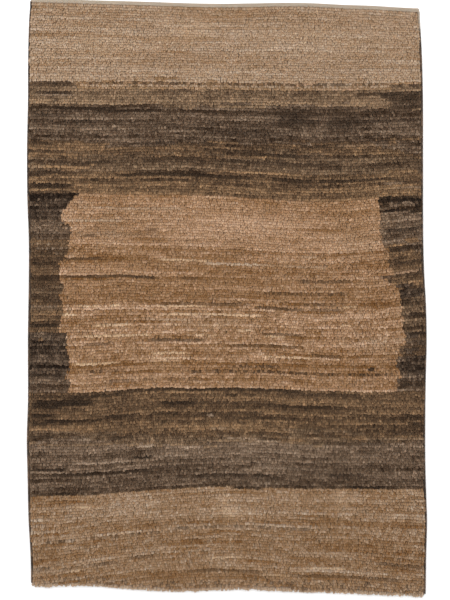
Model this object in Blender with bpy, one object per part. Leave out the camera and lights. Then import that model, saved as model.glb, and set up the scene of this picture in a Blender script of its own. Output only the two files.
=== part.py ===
"""A hand-knotted wool gabbeh rug, lying face up and flat on the floor.

Frame: metres, +Z up. The origin is on the floor under the middle of the rug, +X runs across the rug
to its right side and +Y along its length to the flat-woven end.

The rug has four pieces. The pile field is the knotted ground with its pile. A flat-woven strip ends it
at +Y. A corded binding is overcast along each side. The sides of a hand-knotted rug are never quite
straight, so every piece is laid out on a plain rectangle, across by along, and that rectangle is then
drawn to the rug's own uneven outline.
"""

import math
from typing import Callable, NamedTuple

import bmesh
import bpy

# Nominal size of the rug, from binding to binding and from end to end.
RUG_WIDTH = 1.000
RUG_LENGTH = 1.500

# Pieces, measured on the plain rectangle.
BINDING_WIDTH = 0.0065
END_STRIP_DEPTH = 0.0100
PIECE_GAP = 0.0004
CORNER_RADIUS = 0.0130

# Heights over the floor.
PILE_TOP = 0.0130
PILE_RIM_TOP = 0.0085
PILE_RIM_ROLL = 0.0180
BINDING_TOP = 0.0062
BINDING_EDGE_TOP = 0.0022
END_STRIP_TOP = 0.0032
END_STRIP_EDGE_TOP = 0.0018
END_STRIP_RIM = 0.0020

# Spacing of the grid that each top face is raised on.
FIELD_STEP = 0.0280
SIDE_STEP = 0.0250
FIELD_RIM_STEPS = (0.0030, 0.0080, 0.0180)
BINDING_STEPS = (0.0010, 0.0024)
END_STRIP_STEPS = (0.0020,)


class Station(NamedTuple):
    """One place on an edge: how far along it, and how far out the edge lies there."""

    along: float
    reach: float


# The left side: along is y, reach is x.
LEFT_SIDE = (
    Station(-0.760, -0.4960),
    Station(-0.662, -0.4965),
    Station(-0.561, -0.5020),
    Station(-0.459, -0.5043),
    Station(-0.358, -0.5064),
    Station(-0.257, -0.5035),
    Station(-0.105, -0.5037),
    Station(0.047, -0.5015),
    Station(0.148, -0.5015),
    Station(0.249, -0.5050),
    Station(0.375, -0.5060),
    Station(0.502, -0.5035),
    Station(0.603, -0.5032),
    Station(0.704, -0.5004),
    Station(0.760, -0.4955),
)

# The right side: along is y, reach is x.
RIGHT_SIDE = (
    Station(-0.760, 0.5030),
    Station(-0.662, 0.5040),
    Station(-0.561, 0.5065),
    Station(-0.510, 0.5047),
    Station(-0.409, 0.5020),
    Station(-0.308, 0.5020),
    Station(-0.206, 0.5032),
    Station(-0.105, 0.5055),
    Station(-0.004, 0.5032),
    Station(0.047, 0.4999),
    Station(0.148, 0.4969),
    Station(0.350, 0.4964),
    Station(0.502, 0.4961),
    Station(0.603, 0.4938),
    Station(0.654, 0.4913),
    Station(0.760, 0.4845),
)

# The flat-woven end at +Y: along is x, reach is y.
FAR_END = (
    Station(-0.500, 0.7580),
    Station(-0.308, 0.7521),
    Station(-0.195, 0.7490),
    Station(-0.081, 0.7452),
    Station(-0.005, 0.7442),
    Station(0.071, 0.7452),
    Station(0.147, 0.7465),
    Station(0.205, 0.7462),
    Station(0.261, 0.7440),
    Station(0.299, 0.7417),
    Station(0.375, 0.7393),
    Station(0.451, 0.7347),
    Station(0.490, 0.7330),
)

# The end at -Y, where the pile hangs over: along is x, reach is y.
NEAR_END = (
    Station(-0.500, -0.7300),
    Station(-0.460, -0.7303),
    Station(-0.384, -0.7283),
    Station(-0.346, -0.7286),
    Station(-0.308, -0.7317),
    Station(-0.232, -0.7379),
    Station(-0.119, -0.7417),
    Station(-0.043, -0.7385),
    Station(0.033, -0.7370),
    Station(0.109, -0.7402),
    Station(0.185, -0.7441),
    Station(0.299, -0.7479),
    Station(0.375, -0.7517),
    Station(0.451, -0.7557),
    Station(0.510, -0.7590),
)


class Swell(NamedTuple):
    """One slow wave in the height of the pile, which the uneven knotting leaves."""

    height: float
    length_across: float
    length_along: float
    phase: float


PILE_SWELLS = (
    Swell(height=0.00035, length_across=0.61, length_along=0.17, phase=0.6),
    Swell(height=0.00030, length_across=-0.43, length_along=0.29, phase=2.1),
    Swell(height=0.00025, length_across=0.19, length_along=1.10, phase=4.0),
)


class Finish(NamedTuple):
    """The plain colour and roughness of one piece's yarn, colour in linear light."""

    colour: tuple[float, float, float]
    roughness: float


PILE_FINISH = Finish(colour=(0.205, 0.127, 0.075), roughness=0.95)
END_STRIP_FINISH = Finish(colour=(0.468, 0.376, 0.296), roughness=0.90)
BINDING_FINISH = Finish(colour=(0.045, 0.028, 0.018), roughness=0.90)


def slope_at(side: tuple[Station, ...], index: int) -> float:
    """The slope of an uneven edge at one of its stations, from the stations on either hand."""
    before = side[max(index - 1, 0)]
    after = side[min(index + 1, len(side) - 1)]
    return (after.reach - before.reach) / (after.along - before.along)


def edge_at(side: tuple[Station, ...], along: float) -> float:
    """The reach of an uneven edge at one place, on a smooth curve through its stations."""
    along = min(max(along, side[0].along), side[-1].along)
    index = next(i for i in range(len(side) - 1) if along <= side[i + 1].along)
    first, second = side[index], side[index + 1]
    span = second.along - first.along
    t = (along - first.along) / span
    value = (2.0 * t**3 - 3.0 * t**2 + 1.0) * first.reach + (3.0 * t**2 - 2.0 * t**3) * second.reach
    bend = (t**3 - 2.0 * t**2 + t) * slope_at(side, index) + (t**3 - t**2) * slope_at(side, index + 1)
    return value + bend * span


def round_corner(across: float, along: float) -> tuple[float, float]:
    """Draws the four corner squares of the plain rectangle in to quarter circles."""
    near_x = max(CORNER_RADIUS - across, across - (RUG_WIDTH - CORNER_RADIUS), 0.0) / CORNER_RADIUS
    near_y = max(CORNER_RADIUS - along, along - (RUG_LENGTH - CORNER_RADIUS), 0.0) / CORNER_RADIUS
    drawn_x = near_x * (1.0 - math.sqrt(1.0 - near_y * near_y / 2.0)) * CORNER_RADIUS
    drawn_y = near_y * (1.0 - math.sqrt(1.0 - near_x * near_x / 2.0)) * CORNER_RADIUS
    toward_x = 1.0 if across < RUG_WIDTH / 2.0 else -1.0
    toward_y = 1.0 if along < RUG_LENGTH / 2.0 else -1.0
    return across + toward_x * drawn_x, along + toward_y * drawn_y


def rug_point(across: float, along: float) -> tuple[float, float]:
    """Takes a point of the plain rectangle to its place on the rug's uneven outline."""
    across, along = round_corner(across, along)
    share_across = across / RUG_WIDTH
    share_along = along / RUG_LENGTH
    plain_x = across - RUG_WIDTH / 2.0
    near = edge_at(NEAR_END, plain_x)
    far = edge_at(FAR_END, plain_x)
    y = near + (far - near) * share_along
    left = edge_at(LEFT_SIDE, y)
    right = edge_at(RIGHT_SIDE, y)
    x = left + (right - left) * share_across
    return x, y


def smooth_rise(distance: float, width: float) -> float:
    """Rises from 0 to 1 over a width, like the quarter of a circle."""
    share = min(max(distance / width, 0.0), 1.0)
    return math.sqrt(1.0 - (1.0 - share) ** 2)


def stations(start: float, stop: float, step: float, rim_steps: tuple[float, ...] = ()) -> list[float]:
    """Places from start to stop: close together at both rims, then evenly about a step apart."""
    inner_start = start + (rim_steps[-1] if rim_steps else 0.0)
    inner_stop = stop - (rim_steps[-1] if rim_steps else 0.0)
    count = max(1, round((inner_stop - inner_start) / step))
    inner = [inner_start + (inner_stop - inner_start) * i / count for i in range(count + 1)]
    first_rim = [start] + [start + d for d in rim_steps[:-1]] if rim_steps else []
    last_rim = [stop - d for d in reversed(rim_steps[:-1])] + [stop] if rim_steps else []
    return first_rim + inner + last_rim


def pile_height(across: float, along: float) -> float:
    """The top of the pile: rolled off at the rim, with slow swells over the field."""
    inset = min(
        across - BINDING_WIDTH - PIECE_GAP,
        RUG_WIDTH - BINDING_WIDTH - PIECE_GAP - across,
        along,
        RUG_LENGTH - END_STRIP_DEPTH - PIECE_GAP - along,
    )
    rolled = smooth_rise(inset, PILE_RIM_ROLL)
    swell = sum(
        s.height * math.sin(math.tau * (across / s.length_across + along / s.length_along) + s.phase)
        for s in PILE_SWELLS
    )
    return PILE_RIM_TOP + (PILE_TOP - PILE_RIM_TOP) * rolled + swell * rolled


def binding_height(across: float, _along: float) -> float:
    """The rounded back of the overcast side cord."""
    from_side = min(across, RUG_WIDTH - across)
    inset = min(from_side, BINDING_WIDTH - from_side)
    return BINDING_EDGE_TOP + (BINDING_TOP - BINDING_EDGE_TOP) * smooth_rise(inset, BINDING_WIDTH / 2.0)


def end_strip_height(across: float, along: float) -> float:
    """The flat-woven strip, thinner along its outer rim."""
    inset = min(across, RUG_WIDTH - across, RUG_LENGTH - along)
    return END_STRIP_EDGE_TOP + (END_STRIP_TOP - END_STRIP_EDGE_TOP) * smooth_rise(inset, END_STRIP_RIM)


def yarn_material(name: str, finish: Finish) -> bpy.types.Material:
    """A plain wool material."""
    material = bpy.data.materials.new(name)
    material.use_nodes = True
    shader = material.node_tree.nodes["Principled BSDF"]
    shader.inputs["Base Color"].default_value = (*finish.colour, 1.0)
    shader.inputs["Roughness"].default_value = finish.roughness
    shader.inputs["Metallic"].default_value = 0.0
    return material


def lay_slab(
    name: str,
    columns: list[float],
    rows: list[float],
    height: Callable[[float, float], float],
    material: bpy.types.Material,
    collection: bpy.types.Collection,
) -> bpy.types.Object:
    """One closed piece of the rug: a raised top over a flat underside on the floor.

    The top starts as a grid with a line for each column and row. Its points go to their places on the
    rug, it is extruded down to the floor, and the flat underside is dissolved to one face.
    """
    mesh = bmesh.new()
    last_column = len(columns) - 1
    last_row = len(rows) - 1
    grid = bmesh.ops.create_grid(mesh, x_segments=last_column, y_segments=last_row, size=0.5)
    tops = {}
    for vertex in grid["verts"]:
        across = columns[round((vertex.co.x + 0.5) * last_column)]
        along = rows[round((vertex.co.y + 0.5) * last_row)]
        x, y = rug_point(across, along)
        vertex.co = (x, y, 0.0)
        tops[vertex] = height(across, along)
    underside = mesh.faces[:]
    raised = bmesh.ops.extrude_face_region(mesh, geom=underside, use_keep_orig=True)
    lifted = [item for item in raised["geom"] if isinstance(item, bmesh.types.BMVert)]
    place = {(round(v.co.x, 7), round(v.co.y, 7)): tops[v] for v in tops}
    for vertex in lifted:
        vertex.co.z = place[(round(vertex.co.x, 7), round(vertex.co.y, 7))]
    bmesh.ops.reverse_faces(mesh, faces=underside)
    bmesh.ops.dissolve_faces(mesh, faces=underside, use_verts=False)
    loose = [v for v in mesh.verts if not v.link_faces]
    bmesh.ops.delete(mesh, geom=loose, context="VERTS")
    bmesh.ops.recalc_face_normals(mesh, faces=mesh.faces[:])

    data = bpy.data.meshes.new(name)
    mesh.to_mesh(data)
    mesh.free()
    data.materials.append(material)
    data.shade_smooth()
    data.set_sharp_from_angle(angle=math.radians(50.0))
    piece = bpy.data.objects.new(name, data)
    collection.objects.link(piece)
    return piece


def clear_scene() -> None:
    """Removes every object that the scene starts with."""
    for item in list(bpy.data.objects):
        bpy.data.objects.remove(item, do_unlink=True)


def build_rug() -> None:
    """Builds the four pieces of the rug in a collection of their own."""
    clear_scene()
    rug = bpy.data.collections.new("gabbeh_rug")
    bpy.context.scene.collection.children.link(rug)

    field_far = RUG_LENGTH - END_STRIP_DEPTH - PIECE_GAP
    side_rows = stations(0.0, field_far, SIDE_STEP, FIELD_RIM_STEPS)
    lay_slab(
        "pile_field",
        stations(BINDING_WIDTH + PIECE_GAP, RUG_WIDTH - BINDING_WIDTH - PIECE_GAP, FIELD_STEP, FIELD_RIM_STEPS),
        stations(0.0, field_far, FIELD_STEP, FIELD_RIM_STEPS),
        pile_height,
        yarn_material("pile_wool", PILE_FINISH),
        rug,
    )
    lay_slab(
        "end_strip",
        stations(0.0, RUG_WIDTH, SIDE_STEP, FIELD_RIM_STEPS),
        stations(RUG_LENGTH - END_STRIP_DEPTH, RUG_LENGTH, END_STRIP_DEPTH, END_STRIP_STEPS),
        end_strip_height,
        yarn_material("end_strip_wool", END_STRIP_FINISH),
        rug,
    )
    for name, start in (("binding_left", 0.0), ("binding_right", RUG_WIDTH - BINDING_WIDTH)):
        lay_slab(
            name,
            stations(start, start + BINDING_WIDTH, BINDING_WIDTH, BINDING_STEPS),
            side_rows,
            binding_height,
            yarn_material(name + "_wool", BINDING_FINISH),
            rug,
        )


build_rug()
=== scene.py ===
"""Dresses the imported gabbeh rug: knotted pile, woven ground, flat-woven end, side bindings and studio.

Frame: metres, +Z up out of the pile, +Y towards the flat-woven end, +X to the rug's right side. The
design is read off the photograph, whose frame is 450 x 600 pixels, so a place in it is a pixel of that
frame and PhotoFrame turns it into metres on the rug.
"""

from __future__ import annotations

import logging
import math
from dataclasses import dataclass, field
from enum import Enum
from typing import NamedTuple

import bpy
import numpy as np
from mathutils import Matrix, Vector
from mathutils.bvhtree import BVHTree


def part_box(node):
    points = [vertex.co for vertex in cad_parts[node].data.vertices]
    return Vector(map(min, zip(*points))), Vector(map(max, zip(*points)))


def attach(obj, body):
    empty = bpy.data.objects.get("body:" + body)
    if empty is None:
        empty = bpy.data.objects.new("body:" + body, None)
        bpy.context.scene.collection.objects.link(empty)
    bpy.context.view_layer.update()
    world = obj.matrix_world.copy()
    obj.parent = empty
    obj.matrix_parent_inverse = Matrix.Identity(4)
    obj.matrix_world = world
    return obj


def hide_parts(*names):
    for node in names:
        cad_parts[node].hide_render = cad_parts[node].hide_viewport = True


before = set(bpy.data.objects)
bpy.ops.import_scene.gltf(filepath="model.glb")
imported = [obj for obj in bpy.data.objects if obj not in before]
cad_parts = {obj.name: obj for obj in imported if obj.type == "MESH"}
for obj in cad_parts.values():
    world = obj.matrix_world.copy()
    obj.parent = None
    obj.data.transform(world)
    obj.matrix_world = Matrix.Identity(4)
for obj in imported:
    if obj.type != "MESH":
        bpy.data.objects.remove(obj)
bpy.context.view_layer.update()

BODY = "root"
LOG = logging.getLogger("gabbeh")

# The height of the pile's top where a knot stands past the CAD node's rim.
PILE_RIM_HEIGHT = 0.0085

# How far the right binding is pale, from the far end.
RIGHT_PALE_LENGTH = 0.055

# The middle of a cell, or of a range from 0 to 1.
MIDDLE = 0.5

# The largest sRGB value, and the sRGB curve: its straight foot, and the power above it.
SRGB_FULL = 255.0
SRGB_KNEE = 0.04045
SRGB_SLOPE = 12.92
SRGB_OFFSET = 0.055
SRGB_POWER = 2.4

# How many times its reach a blur is carried out.
BLUR_TAIL = 3


class Yarn(Enum):
    """The dyed and undyed wools of the rug, as sRGB values from 0 to 255."""

    CHARCOAL = (45, 34, 25)
    UMBER = (60, 45, 32)
    TAUPE = (130, 109, 90)
    OLIVE = (132, 108, 84)
    BRONZE = (134, 106, 78)
    OCHRE = (118, 85, 53)
    HONEY = (175, 143, 116)
    TAN = (136, 107, 79)
    SAND = (170, 148, 127)
    CREAM = (198, 170, 140)
    ECRU = (158, 144, 128)
    BARK = (80, 64, 51)

    def srgb(self) -> np.ndarray:
        """The yarn's colour as three sRGB shares from 0 to 1."""
        return np.array(self.value, dtype=float) / SRGB_FULL


class Zone(Enum):
    """The fields of the design, each knotted as a piece of its own."""

    TOP_BAND = "pile_top_band"
    UPPER_BROWN = "pile_upper_brown"
    RECTANGLE = "pile_rectangle"
    LEFT_BORDER = "pile_left_border"
    RIGHT_BORDER = "pile_right_border"
    LOWER_BROWN = "pile_lower_brown"
    BOTTOM_BAND = "pile_bottom_band"


class Side(Enum):
    """The two long sides of the rug, seen with the flat-woven end at the top."""

    LEFT = "left"
    RIGHT = "right"


class RowLine(NamedTuple):
    """One row of knots, read across the photograph, and the rows from the line above down to it."""

    name: str
    rows: int
    y: tuple[float, ...]


class Passage(NamedTuple):
    """A stretch of one zone down to a photo y: two yarns, the share of the paler one, and its grain.

    The grain is the strength of the streaks and specks: 1 is the rug's usual one.
    """

    down_to: float
    dark: Yarn
    pale: Yarn
    share: float
    grain: float = 1.0


class Step(NamedTuple):
    """A point of the rectangle's stepped side: at this photo y, the side stands at this photo x."""

    y: float
    x: float


class Streak(NamedTuple):
    """A run of knots in another yarn along a row: photo y at its middle, photo x of its ends.

    Where every is more than 1, a little more than one knot in so many is of the yarn, picked at random,
    and the others have only a little of it, which gives a dotted row.
    """

    y: float
    start: float
    stop: float
    rows: float
    yarn: Yarn
    strength: float
    every: int = 1


class Patch(NamedTuple):
    """A soft-edged patch of another yarn: photo x and y of its middle, and its reach each way."""

    x: float
    y: float
    reach_x: float
    reach_y: float
    yarn: Yarn
    strength: float


# Photo x of the places where every row line is read.
ROW_LINE_X = (30, 60, 90, 120, 150, 190, 230, 270, 300, 340, 375, 425)

# The row lines, from the far end down.
ROW_LINES = (
    RowLine("top band ends", 33, (87, 87, 87.5, 88, 88, 88, 88.5, 89, 89.5, 89.5, 88.5, 87)),
    RowLine("upper brown, middle", 28, (158, 159, 160, 159, 158, 158.5, 161, 163, 165, 165, 164, 163)),
    RowLine(
        "rectangle starts", 14, (194.5, 194.5, 194.5, 195.5, 195.5, 196, 198, 200.5, 202.5, 202.5, 198.5, 196)
    ),
    RowLine("rectangle, middle", 32, (276, 276, 276, 275.5, 277, 277.5, 278.5, 280, 281, 281, 280, 273)),
    RowLine(
        "rectangle ends", 43, (393.5, 393.5, 393.5, 391.5, 389, 389, 389, 389.5, 391, 392.5, 392.5, 392.5)
    ),
    RowLine(
        "lower brown ends", 38, (497, 496.5, 495.5, 493, 491, 488.5, 486.5, 488, 489.5, 489.5, 489.5, 490)
    ),
    RowLine("bottom band, lower", 27, (575, 572, 567.5, 563.5, 560, 557.5, 556.5, 559, 560, 560.5, 563, 568)),
    RowLine("past the near end", 13, (608, 605, 600.5, 596.5, 593, 590.5, 590, 592, 593, 594.5, 597, 601)),
)

# The rectangle's two sides, from the far end down.
LEFT_STEPS = (
    Step(194, 79), Step(197, 74), Step(203, 69), Step(209, 64.5), Step(214, 61), Step(218, 62),
    Step(222, 64), Step(224, 70.5), Step(232, 71.5), Step(238, 69), Step(252, 69), Step(257, 64.5),
    Step(263, 59.5), Step(281, 60), Step(284, 63.5), Step(290, 63), Step(296, 58.5), Step(302, 61.5),
    Step(312, 63), Step(319, 62), Step(325, 59.5), Step(330, 60), Step(334, 66.5), Step(346, 66.5),
    Step(352, 68), Step(364, 70), Step(370, 69), Step(377, 64.5), Step(380, 70.5), Step(386, 70),
    Step(393, 66),
)

RIGHT_STEPS = (
    Step(194, 380), Step(200, 378), Step(208, 379.5), Step(230, 380.5), Step(246, 382), Step(249, 389.5),
    Step(256, 390), Step(262, 388), Step(270, 390), Step(274, 393), Step(277, 389), Step(280, 386),
    Step(284, 391), Step(287, 397), Step(292, 399), Step(312, 401), Step(325, 403), Step(334, 404.5),
    Step(342, 405.5), Step(346, 403), Step(348, 398), Step(351, 400.5), Step(356, 400), Step(359, 397),
    Step(366, 397), Step(370, 401), Step(377, 401), Step(380, 395), Step(384, 399.5), Step(388, 396),
    Step(393, 399),
)

# The brown field starts higher beside the two long sides than in the middle.
EARLY_BROWN_LEFT = Step(80, 77)
EARLY_BROWN_RIGHT = Step(85, 390)

# The passages of every zone, from the far end down.
PASSAGES = {
    Zone.TOP_BAND: (
        Passage(10, Yarn.TAN, Yarn.SAND, 0.40, 0.8),
        Passage(16, Yarn.TAN, Yarn.SAND, 0.47, 0.8),
        Passage(60, Yarn.TAN, Yarn.SAND, 0.53, 0.8),
        Passage(82, Yarn.TAN, Yarn.SAND, 0.56, 0.8),
        Passage(600, Yarn.BRONZE, Yarn.HONEY, 0.02, 1.5),
    ),
    Zone.UPPER_BROWN: (
        Passage(92, Yarn.UMBER, Yarn.OLIVE, 0.88),
        Passage(108, Yarn.UMBER, Yarn.OLIVE, 0.75),
        Passage(126, Yarn.UMBER, Yarn.TAUPE, 0.43),
        Passage(144, Yarn.UMBER, Yarn.TAUPE, 0.38, 1.1),
        Passage(157, Yarn.UMBER, Yarn.BRONZE, 0.50),
        Passage(172, Yarn.UMBER, Yarn.OLIVE, 0.44),
        Passage(600, Yarn.UMBER, Yarn.BRONZE, 0.70),
    ),
    Zone.RECTANGLE: (
        Passage(212, Yarn.OCHRE, Yarn.HONEY, 0.58, 0.85),
        Passage(250, Yarn.OCHRE, Yarn.HONEY, 0.65, 0.9),
        Passage(262, Yarn.OCHRE, Yarn.HONEY, 0.47),
        Passage(301, Yarn.OCHRE, Yarn.HONEY, 0.46, 0.85),
        Passage(340, Yarn.OCHRE, Yarn.HONEY, 0.54, 1.2),
        Passage(362, Yarn.OCHRE, Yarn.HONEY, 0.53, 1.15),
        Passage(379, Yarn.OCHRE, Yarn.HONEY, 0.28),
        Passage(600, Yarn.OCHRE, Yarn.HONEY, 0.51),
    ),
    Zone.LEFT_BORDER: (
        Passage(216, Yarn.CHARCOAL, Yarn.TAUPE, 0.09),
        Passage(238, Yarn.UMBER, Yarn.TAUPE, 0.44, 1.1),
        Passage(263, Yarn.UMBER, Yarn.BRONZE, 0.39, 0.55),
        Passage(286, Yarn.UMBER, Yarn.BRONZE, 0.26, 0.55),
        Passage(300, Yarn.UMBER, Yarn.OLIVE, 0.39, 0.7),
        Passage(334, Yarn.UMBER, Yarn.BRONZE, 0.57, 0.85),
        Passage(377, Yarn.CHARCOAL, Yarn.TAUPE, 0.34, 0.85),
        Passage(600, Yarn.UMBER, Yarn.TAUPE, 0.36),
    ),
    Zone.RIGHT_BORDER: (
        Passage(208, Yarn.CHARCOAL, Yarn.BRONZE, 0.04, 0.8),
        Passage(242, Yarn.UMBER, Yarn.TAUPE, 0.61),
        Passage(286, Yarn.UMBER, Yarn.BRONZE, 0.57),
        Passage(298, Yarn.CHARCOAL, Yarn.TAUPE, 0.30),
        Passage(334, Yarn.UMBER, Yarn.OLIVE, 0.43),
        Passage(344, Yarn.CHARCOAL, Yarn.TAUPE, 0.40),
        Passage(357, Yarn.UMBER, Yarn.BRONZE, 0.52),
        Passage(378, Yarn.CHARCOAL, Yarn.TAUPE, 0.37),
        Passage(600, Yarn.UMBER, Yarn.TAUPE, 0.47),
    ),
    Zone.LOWER_BROWN: (
        Passage(415, Yarn.UMBER, Yarn.BRONZE, 0.60),
        Passage(434, Yarn.UMBER, Yarn.BRONZE, 0.54),
        Passage(442, Yarn.UMBER, Yarn.OLIVE, 0.60),
        Passage(456, Yarn.UMBER, Yarn.TAUPE, 0.58),
        Passage(470, Yarn.UMBER, Yarn.TAUPE, 0.50),
        Passage(600, Yarn.UMBER, Yarn.TAUPE, 0.46),
    ),
    Zone.BOTTOM_BAND: (
        Passage(526, Yarn.OCHRE, Yarn.SAND, 0.49, 0.85),
        Passage(558, Yarn.OCHRE, Yarn.SAND, 0.43, 0.9),
        Passage(600, Yarn.OCHRE, Yarn.SAND, 0.39, 0.85),
    ),
}

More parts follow.
